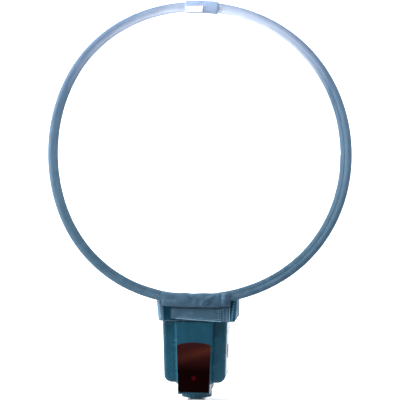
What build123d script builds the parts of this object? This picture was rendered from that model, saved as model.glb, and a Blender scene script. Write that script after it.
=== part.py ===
"""A shoe-mount flash carrying a round pop-up softbox, one STEP file per piece.

Own frame, millimetres: +Z up, -Y the front of the flash (the side that faces the subject), +X to
the right of someone looking at the front. The origin is the middle of the underside of the shoe foot.
"""
from build123d import *
import math
import os

# Shoe foot, to the standard accessory shoe
FOOT_WIDTH = 18.6
FOOT_LENGTH = 18.0
FOOT_PLATE = 2.0
RAIL_NECK = 12.4
RAIL_GAP = 2.4
STEM_R = 7.0
RING_R = 16.5
RING_BOTTOM = 4.5
RING_TOP = 9.8
BASE_BOTTOM = 11.2
PIN_R = 0.65
CENTRE_PIN_R = 1.1
LOCK_PIN_R = 1.0
LOCK_PIN_Y = 6.6
PIN_CLEARANCE = 0.05

# Flash body
BODY_BOTTOM = 22.0
BODY_TOP = 88.0
BODY_HALF_TOP = 35.0
BODY_HALF_LOW = 32.9
BODY_HALF_DEPTH = 26.0
BODY_CORNER = 8.5
BODY_EDGE = 5.0
WALL = 2.2
FLOOR = 7.0
SPLIT_Y = 2.0
BASE_HALF_WIDTH = 16.8
BASE_HALF_DEPTH = 24.0
NOSE_FRONT = -32.0
NOSE_HALF_LOW = 16.9
NOSE_HALF_TOP = 19.3
NOSE_FLARE = 3.6
CHIN_FLARE = 0.3
WINDOW_LOW = 13.2
WINDOW_TOP = 66.2
WINDOW_HALF_LOW = 16.2
WINDOW_HALF_TOP = 18.1
WINDOW_SHOULDER = 63.4
WINDOW_FRONT = -33.2
WINDOW_BACK = -31.0
LAMP_Z = 28.5
LAMP_R = 2.6

# Cells and cell door
CELL_R = 7.2
CELL_LENGTH = 50.5
CELL_BOTTOM = 29.8
CELL_X = (5.2, 19.8)
CELL_Y = (-7.3, 7.3)
DOOR_FACE = 33.0
DOOR_INNER = 30.9
DOOR_HALF = 15.0
DOOR_LOW = 31.0
DOOR_HIGH = 79.0
DOOR_GAP = 0.25
HINGE_GAP = 0.75
DOOR_PIN_X = 31.75
DOOR_PIN_Y = 16.5
DOOR_PIN_R = 0.6
KNUCKLE_R = 1.25
KNUCKLE_LOW = 36.0
KNUCKLE_HIGH = 62.0
LUG = 3.0

# Rear controls
PANEL_HALF = 28.0
PANEL_LOW = 31.0
PANEL_HIGH = 80.0
PANEL_FACE = 28.2
DISPLAY_HALF = 21.0
DISPLAY_LOW = 56.5
DISPLAY_HIGH = 76.0
BUTTON_ROW_Z = 49.5
BUTTON_X = 19.0
BUTTON_WIDTH = 9.0
BUTTON_HEIGHT = 4.6
BUTTON_FACE = 29.6
BUTTON_BACK = 21.5
BUTTON_GAP = 0.1
DIAL_X = 10.0
DIAL_Z = 39.3
DIAL_R = 7.2
DIAL_BORE = 4.4
DIAL_FACE = 30.2
SET_R = 3.9
SWITCH_X = -17.0
SWITCH_Z = 38.5
SWITCH_TRAVEL = 4.0

# Port cover and sync socket on the left side
PORT_FACE = -32.8
PORT_HALF = 8.0
PORT_LOW = 50.0
PORT_HIGH = 70.0
COVER_THICK = 1.5
SYNC_Z = 60.0
SYNC_R = 1.75
SYNC_FACE = -32.2

# Neck of the flash
NECK_Y = -2.0
TURNTABLE_R = 24.0
TURNTABLE_LOW = 85.3
TURNTABLE_TOP = 88.3
HUB_R = 9.0
HUB_LOW = 81.4
RUNNING_GAP = 0.05
YOKE_HALF = 18.0
YOKE_R = 14.0
TILT_Z = 124.0
AXLE_R = 4.0
AXLE_HALF = 27.0

# Flash head
HEAD_HALF = 33.5
HEAD_HALF_DEPTH = 27.0
HEAD_BOTTOM = 91.0
HEAD_TOP = 190.0
HEAD_ROUND = 35.0
HEAD_CORNER = 6.0
EAR_INNER = 18.6
EAR_WALL = 2.4
SLOT_TOP = 139.2
HEAD_FLOOR = 142.0
RELEASE_R = 4.5
LENS_HALF = 29.0
LENS_Y = (-21.0, 17.0)
REFLECTOR_HALF = 22.5
REFLECTOR_Y = -2.0
REFLECTOR_DEPTH = 12.0
REFLECTOR_LOW = 147.0
REFLECTOR_TOP = 165.5
TUBE_R = 2.0
CARRIAGE_LOW = 143.0
CARRIAGE_TOP = 147.0
SCREW_X = 26.2
SCREW_Y = 12.0
SCREW_R = 1.5
ROD_R = 1.25
ROD_TOP = 186.0
WIDE_PANEL_Y = (20.4, 21.8)
CARD_Y = (23.0, 24.2)
SLIDE_GAP = 0.15

# Softbox. It hangs a little to the right of the flash's own centre line.
SOFT_X = 3.0
RIM_Z = 266.2
RIM_R = 161.2
RIM_BAND = 11.2
RIM_FRONT = -38.5
RIM_BACK = -33.5
WIRE_R = 0.9
WIRE_TRACK = 155.6
FERRULE_R = 1.5
CHANNEL_R = 1.7
DIFFUSER_FRONT = -36.7
DIFFUSER_BACK = -35.3
TUCK = 1.8
CLOTH = 1.2
CLOTH_RIM_R = 157.2
BOX_BACK = 32.0
NECK_BOTTOM = 89.0
NECK_HALF = 39.8
NECK_FLARE = 3.0
NECK_SHOULDER = 117.0
BOX_TOP = 255.0
BOX_CORNER = 20.0
FRONT_PANEL = (-31.0, -29.7)
STRAP_LOW = 88.6
STRAP_HIGH = 104.4
STRAP_FRONT = -32.9
STRAP_LEFT = -34.5
STRAP_RIGHT = 26.5
TAIL_RIGHT = 35.6
FOLD_LEFT = -36.8
FOLD_RIGHT = 33.5
FOLD_LOW = 104.7
FOLD_TOP = 120.0


def block(xs, ys, zs):
    """A box between two corners, each given as (low, high)."""
    middle = [(low + high) / 2 for low, high in (xs, ys, zs)]
    return Pos(*middle) * Box(xs[1] - xs[0], ys[1] - ys[0], zs[1] - zs[0])


def slab(half, ys, zs, middle=0.0):
    """A box that reaches the same distance to both sides of a middle X."""
    return block((middle - half, middle + half), ys, zs)


def rod_x(radius, y, z, xs):
    return Pos((xs[0] + xs[1]) / 2, y, z) * Rot(0, 90, 0) * Cylinder(radius, xs[1] - xs[0])


def rod_y(radius, x, z, ys):
    return Pos(x, (ys[0] + ys[1]) / 2, z) * Rot(90, 0, 0) * Cylinder(radius, ys[1] - ys[0])


def rod_z(radius, x, y, zs):
    return Pos(x, y, (zs[0] + zs[1]) / 2) * Cylinder(radius, zs[1] - zs[0])


def tube_y(outer, inner, x, z, ys):
    return rod_y(outer, x, z, ys) - rod_y(inner, x, z, ys)


def front_prism(sketch, ys):
    """A sketch of X across and Z up, made solid between two Y values."""
    plane = Plane(origin=(0, ys[1], 0), x_dir=(1, 0, 0), z_dir=(0, -1, 0))
    return extrude(plane * sketch, amount=ys[1] - ys[0])


def side_prism(sketch, xs):
    """A sketch of Y across and Z up, made solid between two X values."""
    plane = Plane(origin=(xs[0], 0, 0), x_dir=(0, 1, 0), z_dir=(1, 0, 0))
    return extrude(plane * sketch, amount=xs[1] - xs[0])


def plan_prism(sketch, zs):
    """A sketch of X and Y, made solid between two heights."""
    return extrude(Pos(0, 0, zs[0]) * sketch, amount=zs[1] - zs[0])


def outline(points):
    return make_face(Polyline(*points, close=True))


def rounded(width, height, radius, x, z):
    return Pos(x, z) * RectangleRounded(width, height, radius)


# ---------------------------------------------------------------- shoe foot


def pin_places():
    """Centres of the four small contacts, behind and beside the big one."""
    return [(-4.4, 3.4), (4.4, 3.4), (-4.4, -3.4), (4.4, -3.4)]


def screw_places(reach):
    return [(x, y) for x in (-reach, reach) for y in (-reach, reach)]


def pin_holes():
    holes = rod_z(CENTRE_PIN_R + PIN_CLEARANCE, 0, 0, (-1, 8))
    for x, y in pin_places():
        holes += rod_z(PIN_R + PIN_CLEARANCE, x, y, (-1, 8))
    return holes + rod_z(LOCK_PIN_R + PIN_CLEARANCE, 0, -LOCK_PIN_Y, (-1, 11))


def shoe_plate():
    """The metal plate that slides under the rails of an accessory shoe."""
    plate = slab(FOOT_WIDTH / 2, (-FOOT_LENGTH / 2, FOOT_LENGTH / 2), (0, FOOT_PLATE))
    plate = chamfer(plate.edges().filter_by(Axis.Z), 1.0)
    return plate - pin_holes()


def shoe_stem():
    """Web between the rails, round stem for the lock ring, and the flange above it."""
    stem = slab(RAIL_NECK / 2, (-FOOT_LENGTH / 2, FOOT_LENGTH / 2), (FOOT_PLATE, FOOT_PLATE + RAIL_GAP))
    stem += rod_z(STEM_R + 2, 0, 0, (FOOT_PLATE + RAIL_GAP, RING_TOP + 0.2))
    stem += slab(11.5, (-11.5, 11.5), (RING_TOP + 0.2, BASE_BOTTOM))
    stem -= pin_holes()
    for x, y in screw_places(9.5):
        stem -= rod_z(1.1, x, y, (RING_TOP, BASE_BOTTOM + 1))
    return stem


def lock_ring():
    """A knurled collar that turns on the stem of the foot."""
    ring = rod_z(RING_R, 0, 0, (RING_BOTTOM, RING_TOP))
    ring -= rod_z(STEM_R + 2 + RUNNING_GAP, 0, 0, (0, BASE_BOTTOM))
    grooves = 24
    for turn in range(grooves):
        angle = 2 * math.pi * turn / grooves
        x, y = (RING_R + 0.5) * math.cos(angle), (RING_R + 0.5) * math.sin(angle)
        ring -= rod_z(1.1, x, y, (RING_BOTTOM - 1, RING_TOP + 1))
    return ring


def lock_pin():
    return rod_z(LOCK_PIN_R, 0, -LOCK_PIN_Y, (0.3, 9.3))


def contact_pins():
    pins = rod_z(CENTRE_PIN_R, 0, 0, (-0.5, 6.5))
    for x, y in pin_places():
        pins += rod_z(PIN_R, x, y, (-0.5, 6.5))
    return pins


def base_block():
    """The narrow block that joins the body to the foot."""
    plan = RectangleRounded(2 * BASE_HALF_WIDTH, 2 * BASE_HALF_DEPTH, 4)
    base = plan_prism(plan, (BASE_BOTTOM, BODY_BOTTOM))
    base = fillet(base.faces().sort_by(Axis.Z)[0].edges(), 1.2)
    base -= slab(BASE_HALF_WIDTH - 3, (-BASE_HALF_DEPTH + 3, BASE_HALF_DEPTH - 3), (18, BODY_BOTTOM + 1))
    for x, y in screw_places(9.5):
        base -= rod_z(1.1, x, y, (BASE_BOTTOM - 1, 17.4))
    return base


# ---------------------------------------------------------------- body


def body_profile(inset):
    """Front outline of the body: sides lean outwards, lower corners are round."""
    lean = (BODY_HALF_TOP - BODY_HALF_LOW) / (BODY_TOP - BODY_BOTTOM)
    top = BODY_TOP - inset
    low = BODY_BOTTOM + inset
    half_top = BODY_HALF_TOP - inset - lean * inset
    half_low = BODY_HALF_LOW - inset + lean * inset
    face = outline([(-half_low, low), (half_low, low), (half_top, top), (-half_top, top)])
    corners = face.vertices().sort_by(Axis.Y)[:2]
    return fillet(corners, BODY_CORNER - inset)


def body_outer():
    solid = front_prism(body_profile(0), (-BODY_HALF_DEPTH, BODY_HALF_DEPTH))
    edges = solid.faces().sort_by(Axis.Y)[0].edges() + solid.faces().sort_by(Axis.Y)[-1].edges()
    edges = edges.filter_by(lambda edge: edge.center().Z < BODY_TOP - 1)
    solid = fillet(edges, BODY_EDGE)
    return solid


def body_cavity():
    low = BODY_BOTTOM + FLOOR
    high = BODY_TOP - 5.0
    cavity = front_prism(body_profile(WALL), (-BODY_HALF_DEPTH + WALL, BODY_HALF_DEPTH - WALL))
    cavity &= slab(50, (-50, 50), (low, high))
    return cavity


def nose_section(z, half, front, flare):
    """A trapezium seen from above: narrow front face, flared back to the body."""
    back = -BASE_HALF_DEPTH
    points = [(-half, front), (half, front), (half + flare, back), (-half - flare, back)]
    return Pos(0, 0, z) * outline(points)


def nose(inset, low, high, flare=NOSE_FLARE):
    """The raised front of the body, wider at the top, between two heights."""
    spread = (NOSE_HALF_TOP - NOSE_HALF_LOW) / (BODY_TOP - BASE_BOTTOM)
    sections = []
    for z in (low, high):
        half = NOSE_HALF_LOW + spread * (z - BASE_BOTTOM) - inset
        sections.append(nose_section(z, half, NOSE_FRONT + inset, flare))
    raised = loft(Sketch() + sections)
    front_edges = raised.faces().sort_by(Axis.Y)[0].edges()
    return fillet(front_edges.filter_by(lambda edge: edge.bounding_box().size.Z > 5), 1.2)


def window_face(gap=0.0):
    """Front outline of the red window: straight sides, a shallow arch on top."""
    low = WINDOW_LOW
    foot = (WINDOW_HALF_LOW - gap, low + gap)
    shoulder = (WINDOW_HALF_TOP - gap, WINDOW_SHOULDER - gap)
    sides = [
        Line((-foot[0], foot[1]), foot),
        Line(foot, shoulder),
        ThreePointArc(shoulder, (0, WINDOW_TOP - gap), (-shoulder[0], shoulder[1])),
        Line((-shoulder[0], shoulder[1]), (-foot[0], foot[1])),
    ]
    return make_face(Curve() + sides)


def leaning(part, side=1):
    """Turns an upright piece so that it lies in the right (1) or left (-1) wall, which leans outwards."""
    angle = math.degrees(math.atan((BODY_HALF_TOP - BODY_HALF_LOW) / (BODY_TOP - BODY_BOTTOM)))
    foot = side * BODY_HALF_LOW
    return Pos(foot, 0, BODY_BOTTOM) * Rot(0, side * angle, 0) * Pos(-foot, 0, -BODY_BOTTOM) * part


def hinge_span(gap):
    return KNUCKLE_LOW - LUG - 0.1 - gap, KNUCKLE_HIGH + LUG + 0.1 + gap


def door_opening():
    ys = (-DOOR_HALF - 2 * DOOR_GAP, DOOR_HALF + HINGE_GAP)
    opening = block((DOOR_INNER - 3, 40), ys, (DOOR_LOW - DOOR_GAP, DOOR_HIGH + DOOR_GAP))
    pocket = block((DOOR_PIN_X - KNUCKLE_R - 0.2, 40), (DOOR_HALF, DOOR_PIN_Y + 1.7), hinge_span(0.1))
    return leaning(opening + pocket)


def door_lugs():
    lugs = Part()
    for low in (KNUCKLE_LOW - LUG - 0.1, KNUCKLE_HIGH + 0.1):
        zs = (low, low + LUG)
        lugs += rod_z(KNUCKLE_R, DOOR_PIN_X, DOOR_PIN_Y, zs)
        xs = (DOOR_PIN_X - KNUCKLE_R, BODY_HALF_LOW)
        lugs += block(xs, (DOOR_PIN_Y, DOOR_PIN_Y + 2.2), zs)
    return leaning(lugs - rod_z(DOOR_PIN_R, DOOR_PIN_X, DOOR_PIN_Y, hinge_span(0)))


def port_recess():
    ys = (-PORT_HALF - 0.2, PORT_HALF + 0.2)
    return leaning(block((-40, PORT_FACE + COVER_THICK + 0.1), ys, (PORT_LOW - 0.2, PORT_HIGH + 0.2)), -1)


def case_screw_places():
    return [(-28.6, 85.4), (28.6, 85.4), (-20.0, 27.0), (20.0, 27.0)]


def body_shell():
    """The whole moulded case, before it is parted into front and rear."""
    case = body_outer() + nose(0, BODY_BOTTOM, BODY_TOP) + nose(0, BASE_BOTTOM, BODY_BOTTOM + 2, CHIN_FLARE)
    case -= slab(BASE_HALF_WIDTH, (-BASE_HALF_DEPTH, BODY_HALF_DEPTH + 1), (BASE_BOTTOM - 1, BODY_BOTTOM))
    case -= body_cavity()
    pad_depth = (PORT_FACE + COVER_THICK, PORT_FACE + COVER_THICK + 2)
    case += leaning(block(pad_depth, (-PORT_HALF - 2, PORT_HALF + 2), (PORT_LOW - 2, PORT_HIGH + 2)), -1)
    case -= port_recess()
    case -= nose(2.4, BODY_BOTTOM + FLOOR, BODY_TOP - 5) & slab(30, (-50, -BODY_HALF_DEPTH + 5), (0, 100))
    case -= front_prism(window_face(), (WINDOW_FRONT - 1, WINDOW_BACK))
    case -= slab(12.5, (-35, -BASE_HALF_DEPTH), (19, 60))
    case -= rod_z(TURNTABLE_R + RUNNING_GAP, 0, NECK_Y, (TURNTABLE_LOW - 0.1, BODY_TOP + 1))
    case -= rod_z(HUB_R + RUNNING_GAP, 0, NECK_Y, (HUB_LOW - 2, BODY_TOP))
    case -= door_opening()
    case -= rod_x(SYNC_R + 1.6, 0, SYNC_Z, (-40, -27))
    for x, z in case_screw_places():
        case -= rod_y(1.1, x, z, (-6, BODY_HALF_DEPTH + 1))
        case -= rod_y(2.2, x, z, (BODY_HALF_DEPTH - 1.6, BODY_HALF_DEPTH + 1))
    return case


def panel_cuts(ys):
    """The holes that the rear panel and the rear shell share."""
    cuts = slab(DISPLAY_HALF, ys, (DISPLAY_LOW, DISPLAY_HIGH))
    for x in (-BUTTON_X, 0, BUTTON_X):
        size = (BUTTON_WIDTH + 2 * BUTTON_GAP, BUTTON_HEIGHT + 2 * BUTTON_GAP)
        cuts += front_prism(rounded(*size, 2, x, BUTTON_ROW_Z), ys)
    cuts += rod_y(DIAL_R + BUTTON_GAP, DIAL_X, DIAL_Z, ys)
    width = 7.0 + SWITCH_TRAVEL
    cuts += front_prism(rounded(width + 0.4, 4.6, 1.2, SWITCH_X + SWITCH_TRAVEL / 2, SWITCH_Z), ys)
    return cuts


def body_front_shell(case):
    return case & slab(60, (-60, SPLIT_Y), (0, 120))


def body_rear_shell(case):
    rear = case & slab(60, (SPLIT_Y, 60), (0, 120))
    rear -= panel_cuts((20, 40))
    return rear + door_lugs()


def rear_panel():
    ys = (BODY_HALF_DEPTH, PANEL_FACE)
    middle = (PANEL_LOW + PANEL_HIGH) / 2
    plate = front_prism(rounded(2 * PANEL_HALF, PANEL_HIGH - PANEL_LOW, 4, 0, middle), ys)
    plate = fillet(plate.faces().sort_by(Axis.Y)[-1].edges(), 0.9)
    return plate - panel_cuts((20, 40))


def display_panel():
    return slab(DISPLAY_HALF - 0.5, (20.6, 25.6), (DISPLAY_LOW + 0.5, DISPLAY_HIGH - 0.5))


def display_window():
    middle = (DISPLAY_LOW + DISPLAY_HIGH) / 2
    size = (2 * DISPLAY_HALF - 0.04, DISPLAY_HIGH - DISPLAY_LOW - 0.04)
    return front_prism(rounded(*size, 0.6, 0, middle), (25.8, PANEL_FACE + 0.4))


def push_button(x):
    ys = (BUTTON_BACK, BUTTON_FACE)
    button = front_prism(rounded(BUTTON_WIDTH, BUTTON_HEIGHT, 1.9, x, BUTTON_ROW_Z), ys)
    return fillet(button.faces().sort_by(Axis.Y)[-1].edges(), 0.5)


def select_dial():
    dial = tube_y(DIAL_R, DIAL_BORE, DIAL_X, DIAL_Z, (24.0, DIAL_FACE))
    dial = fillet(dial.faces().sort_by(Axis.Y)[-1].edges(), 0.4)
    notches = 18
    for turn in range(notches):
        angle = 2 * math.pi * turn / notches
        x = DIAL_X + (DIAL_R + 0.35) * math.cos(angle)
        z = DIAL_Z + (DIAL_R + 0.35) * math.sin(angle)
        dial -= rod_y(0.7, x, z, (PANEL_FACE + 0.2, DIAL_FACE + 1))
    return dial


def set_button():
    button = rod_y(SET_R, DIAL_X, DIAL_Z, (BUTTON_BACK, DIAL_FACE + 0.3))
    return fillet(button.faces().sort_by(Axis.Y)[-1].edges(), 0.5)


def power_switch():
    ys = (22.0, PANEL_FACE + 1.4)
    slider = front_prism(rounded(7.0, 4.2, 1.0, SWITCH_X, SWITCH_Z), ys)
    for step in (-2, 0, 2):
        slider -= block((SWITCH_X + step - 0.3, SWITCH_X + step + 0.3), (ys[1] - 0.5, 40), (30, 50))
    return slider


def case_screws():
    screws = [rod_z(1.1, x, y, (RING_TOP + 0.2, 17.4)) for x, y in screw_places(9.5)]
    for x, z in case_screw_places():
        head = rod_y(2.2, x, z, (BODY_HALF_DEPTH - 1.6, BODY_HALF_DEPTH))
        shank = rod_y(1.1, x, z, (-6, BODY_HALF_DEPTH - 1.6))
        cross = slab(0.35, (BODY_HALF_DEPTH - 0.9, 40), (z - 1.5, z + 1.5), x)
        cross += slab(1.5, (BODY_HALF_DEPTH - 0.9, 40), (z - 0.35, z + 0.35), x)
        screws.append(head + shank - cross)
    return Compound(children=screws)


def red_window():
    window = front_prism(window_face(0.02), (WINDOW_FRONT, WINDOW_BACK))
    return fillet(window.faces().sort_by(Axis.Y)[0].edges(), 0.7)


def sensor_board():
    return slab(12.0, (-25.6, -24.2), (21, 58))


def assist_lamp():
    return rod_y(LAMP_R, 0, LAMP_Z, (-30.6, -25.6))


def light_sensor():
    return slab(3.2, (-28.4, -25.6), (44, 50))


def main_board():
    """It stands behind the cells and carries the switches under the buttons."""
    board = slab(28.0, (17.0, 18.6), (32, 79))
    for x in (-BUTTON_X, 0, BUTTON_X):
        board += slab(1.6, (18.6, 20.4), (BUTTON_ROW_Z - 1.6, BUTTON_ROW_Z + 1.6), x)
    return board + slab(1.6, (18.6, 20.4), (DIAL_Z - 1.6, DIAL_Z + 1.6), DIAL_X)


def power_board():
    return slab(14.0, (-18.6, -17.0), (32, 78), -14.5)


def main_capacitor():
    can = rod_z(9.0, -12.2, 0.0, (31, 71))
    return can - rod_z(8.0, -12.2, 0.0, (70.4, 72))


def aa_cells():
    """Four cells standing in a square, each with the small button of its + end."""
    cells = []
    for column, x in enumerate(CELL_X):
        for row, y in enumerate(CELL_Y):
            low, high = CELL_BOTTOM, CELL_BOTTOM + CELL_LENGTH
            nub = (high - 1.2, high) if (column + row) % 2 else (low, low + 1.2)
            can = (low, high - 1.2) if (column + row) % 2 else (low + 1.2, high)
            cells.append(rod_z(CELL_R, x, y, can) + rod_z(2.7, x, y, nub))
    return Compound(children=cells)


def cell_contacts():
    span = ((CELL_X[0] - 6, CELL_X[1] + 6), (-13, 13))
    top = CELL_BOTTOM + CELL_LENGTH
    lower = block(*span, (BODY_BOTTOM + FLOOR, CELL_BOTTOM))
    upper = block(*span, (top, top + 0.5))
    return Compound(children=[lower, upper])


def cell_door():
    door = block((DOOR_INNER, DOOR_FACE), (-DOOR_HALF, DOOR_HALF), (DOOR_LOW, DOOR_HIGH))
    door = fillet(door.faces().sort_by(Axis.X)[-1].edges(), 0.5)
    zs = (KNUCKLE_LOW, KNUCKLE_HIGH)
    door += block((DOOR_INNER, DOOR_FACE - 0.4), (DOOR_HALF - 2, DOOR_PIN_Y), zs)
    door += rod_z(KNUCKLE_R, DOOR_PIN_X, DOOR_PIN_Y, zs)
    door -= rod_z(DOOR_PIN_R + RUNNING_GAP, DOOR_PIN_X, DOOR_PIN_Y, zs)
    for step in range(5):
        y = -DOOR_HALF + 3.0 + 1.6 * step
        door += block((DOOR_FACE - 0.3, DOOR_FACE + 0.4), (y - 0.4, y + 0.4), (48, 62))
    return leaning(door)


def cell_door_pin():
    return leaning(rod_z(DOOR_PIN_R, DOOR_PIN_X, DOOR_PIN_Y, hinge_span(0)))


def port_cover():
    """A rubber flap over the sync socket; it bends at its top edge."""
    cover = block((PORT_FACE, PORT_FACE + COVER_THICK), (-PORT_HALF, PORT_HALF), (PORT_LOW, PORT_HIGH))
    return leaning(fillet(cover.faces().sort_by(Axis.X)[0].edges(), 0.5), -1)


def sync_socket():
    """A 3.5 mm jack socket, set into the left wall."""
    socket = rod_x(SYNC_R + 1.6, 0, SYNC_Z, (SYNC_FACE, SYNC_FACE + 10.4))
    return socket - rod_x(SYNC_R, 0, SYNC_Z, (-40, SYNC_FACE + 9.0))


# ---------------------------------------------------------------- neck and head


def swivel_yoke():
    yoke = rod_z(TURNTABLE_R, 0, NECK_Y, (TURNTABLE_LOW, TURNTABLE_TOP))
    yoke += rod_z(HUB_R, 0, NECK_Y, (HUB_LOW, TURNTABLE_LOW))
    yoke += slab(YOKE_HALF, (NECK_Y - YOKE_R, NECK_Y + YOKE_R), (TURNTABLE_TOP, TILT_Z))
    yoke += rod_x(YOKE_R, NECK_Y, TILT_Z, (-YOKE_HALF, YOKE_HALF))
    yoke -= rod_x(AXLE_R + RUNNING_GAP, NECK_Y, TILT_Z, (-YOKE_HALF - 1, YOKE_HALF + 1))
    return yoke - rod_z(3.0, 0, NECK_Y, (HUB_LOW - 1, TILT_Z - 8))


def swivel_retainer():
    zs = (HUB_LOW, BODY_TOP - 5.1)
    return rod_z(HUB_R + 3.0, 0, NECK_Y, zs) - rod_z(HUB_R, 0, NECK_Y, zs)


def tilt_axle():
    return rod_x(AXLE_R, NECK_Y, TILT_Z, (-AXLE_HALF, AXLE_HALF))


def tilt_release_button():
    return rod_x(RELEASE_R, NECK_Y, TILT_Z, (AXLE_HALF + 2.5, HEAD_HALF + 0.9))


def head_side(inset):
    """Side outline of the head; its lower front corner is round about the tilt axle."""
    half = HEAD_HALF_DEPTH - inset
    low, high = HEAD_BOTTOM + inset, HEAD_TOP - inset
    side = outline([(-half, low), (half, low), (half, high), (-half, high)])
    corner = outline([(-half, low), (NECK_Y, low), (NECK_Y, TILT_Z), (-half, TILT_Z)])
    return side - (corner - Pos(NECK_Y, TILT_Z) * Circle(HEAD_ROUND - inset))


def head_outer():
    outer = side_prism(head_side(0), (-HEAD_HALF, HEAD_HALF))
    plan = RectangleRounded(2 * HEAD_HALF, 2 * HEAD_HALF_DEPTH, HEAD_CORNER)
    outer &= plan_prism(plan, (HEAD_BOTTOM - 1, HEAD_TOP + 1))
    return fillet(outer.faces().sort_by(Axis.Z)[-1].edges(), 1.5)


def head_cavities():
    inner = side_prism(head_side(WALL), (-HEAD_HALF + WALL, HEAD_HALF - WALL))
    plan = RectangleRounded(2 * (HEAD_HALF - WALL), 2 * (HEAD_HALF_DEPTH - WALL), HEAD_CORNER - WALL)
    inner &= plan_prism(plan, (HEAD_BOTTOM - 1, HEAD_TOP + 1))
    upper = inner & slab(50, (-50, 50), (HEAD_FLOOR, HEAD_TOP))
    ears = inner & slab(50, (-50, 50), (HEAD_BOTTOM, SLOT_TOP))
    return upper + (ears - slab(EAR_INNER + EAR_WALL, (-50, 50), (0, 300)))


def panel_slot(ys, half):
    return slab(half + SLIDE_GAP, (ys[0] - SLIDE_GAP, ys[1] + SLIDE_GAP), (HEAD_TOP - 5, HEAD_TOP + 1))


def head_screw_places():
    return [(-21.5, 140.6), (21.5, 140.6)]


def head_shell():
    """The whole moulded head, before it is parted into front and rear."""
    head = head_outer() - head_cavities()
    for side in (-1, 1):
        inner, outer = sorted((side * EAR_INNER, side * AXLE_HALF))
        head += rod_x(AXLE_R + 2, NECK_Y, TILT_Z, (inner, outer))
    head -= rod_x(AXLE_R, NECK_Y, TILT_Z, (-AXLE_HALF, AXLE_HALF))
    head -= slab(EAR_INNER, (-50, 50), (0, SLOT_TOP))
    head -= rod_x(RELEASE_R + RUNNING_GAP, NECK_Y, TILT_Z, (AXLE_HALF, HEAD_HALF + 2))
    head -= slab(LENS_HALF, LENS_Y, (HEAD_TOP - 5, HEAD_TOP + 1))
    head -= panel_slot(WIDE_PANEL_Y, 28.0) + panel_slot(CARD_Y, 25.0)
    head -= rod_z(SCREW_R + 0.4, SCREW_X, SCREW_Y, (SLOT_TOP - 1, HEAD_FLOOR + 1))
    head -= rod_z(ROD_R, -SCREW_X, SCREW_Y, (SLOT_TOP - 1, HEAD_FLOOR + 1))
    for x, z in head_screw_places():
        head -= rod_y(1.1, x, z, (-8, HEAD_HALF_DEPTH + 1))
        head -= rod_y(2.2, x, z, (HEAD_HALF_DEPTH - 1.6, HEAD_HALF_DEPTH + 1))
    return head


def head_front_shell(head):
    return head & slab(60, (-60, NECK_Y), (80, 200))


def head_rear_shell(head):
    return head & slab(60, (NECK_Y, 60), (80, 200))


def head_screws():
    screws = []
    for x, z in head_screw_places():
        head = rod_y(2.2, x, z, (HEAD_HALF_DEPTH - 1.6, HEAD_HALF_DEPTH))
        screws.append(head + rod_y(1.1, x, z, (-8, HEAD_HALF_DEPTH - 1.6)))
    return Compound(children=screws)


def fresnel_lens():
    lens = slab(LENS_HALF, LENS_Y, (HEAD_TOP - WALL, HEAD_TOP + 0.5))
    flange = (LENS_Y[0] - 1.2, LENS_Y[1] + 1.2)
    return lens + slab(LENS_HALF + 1.2, flange, (HEAD_TOP - WALL - 1.4, HEAD_TOP - WALL))


def trough_face(inset):
    """Section of the reflector: half an ellipse, open at the top."""
    ellipse = Ellipse(REFLECTOR_DEPTH - inset, REFLECTOR_TOP - REFLECTOR_LOW - inset)
    lower = Pos(0, -50) * Rectangle(100, 100)
    return Pos(REFLECTOR_Y, REFLECTOR_TOP) * (ellipse & lower)


def reflector():
    wall = 0.8
    trough = side_prism(trough_face(0), (-REFLECTOR_HALF, REFLECTOR_HALF))
    trough -= side_prism(trough_face(wall), (-REFLECTOR_HALF + wall, REFLECTOR_HALF - wall))
    tube_z = REFLECTOR_LOW + 5.5
    return trough - rod_x(TUBE_R, REFLECTOR_Y, tube_z, (-REFLECTOR_HALF - 1, REFLECTOR_HALF + 1))


def flash_tube():
    return rod_x(TUBE_R, REFLECTOR_Y, REFLECTOR_LOW + 5.5, (-REFLECTOR_HALF - 1, REFLECTOR_HALF + 1))


def zoom_carriage():
    carriage = slab(REFLECTOR_HALF, (-12, 10), (CARRIAGE_LOW, CARRIAGE_TOP))
    carriage += slab(SCREW_X + 3, (8, 15), (CARRIAGE_LOW, CARRIAGE_TOP))
    carriage -= rod_z(SCREW_R + RUNNING_GAP, SCREW_X, SCREW_Y, (140, 150))
    carriage -= rod_z(ROD_R + RUNNING_GAP, -SCREW_X, SCREW_Y, (140, 150))
    return carriage - slab(16, (-8, 4), (CARRIAGE_LOW - 1, CARRIAGE_LOW + 2.5))


def lead_screw():
    return rod_z(SCREW_R, SCREW_X, SCREW_Y, (137.2, ROD_TOP))


def guide_rod():
    return rod_z(ROD_R, -SCREW_X, SCREW_Y, (SLOT_TOP, ROD_TOP))


def zoom_motor():
    can = rod_z(4.8, SCREW_X, SCREW_Y, (121.0, SLOT_TOP))
    return can - rod_z(SCREW_R + 0.1, SCREW_X, SCREW_Y, (137.0, SLOT_TOP + 1))


def wide_panel():
    plate = slab(28.0, WIDE_PANEL_Y, (HEAD_FLOOR + 0.5, HEAD_TOP - 0.4))
    return plate + slab(6.0, WIDE_PANEL_Y, (HEAD_TOP - 0.4, HEAD_TOP + 1.4))


def bounce_card():
    plate = slab(25.0, CARD_Y, (HEAD_FLOOR + 0.5, HEAD_TOP - 0.4))
    return plate + slab(6.0, CARD_Y, (HEAD_TOP - 0.4, HEAD_TOP + 1.4), -15)


# ---------------------------------------------------------------- softbox


def on_rim(radius, degrees):
    """A point (x, z) on a circle about the middle of the rim."""
    angle = math.radians(degrees)
    return SOFT_X + radius * math.cos(angle), RIM_Z + radius * math.sin(angle)


def ring(outer, inner, ys):
    return tube_y(outer, inner, SOFT_X, RIM_Z, ys)


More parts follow.
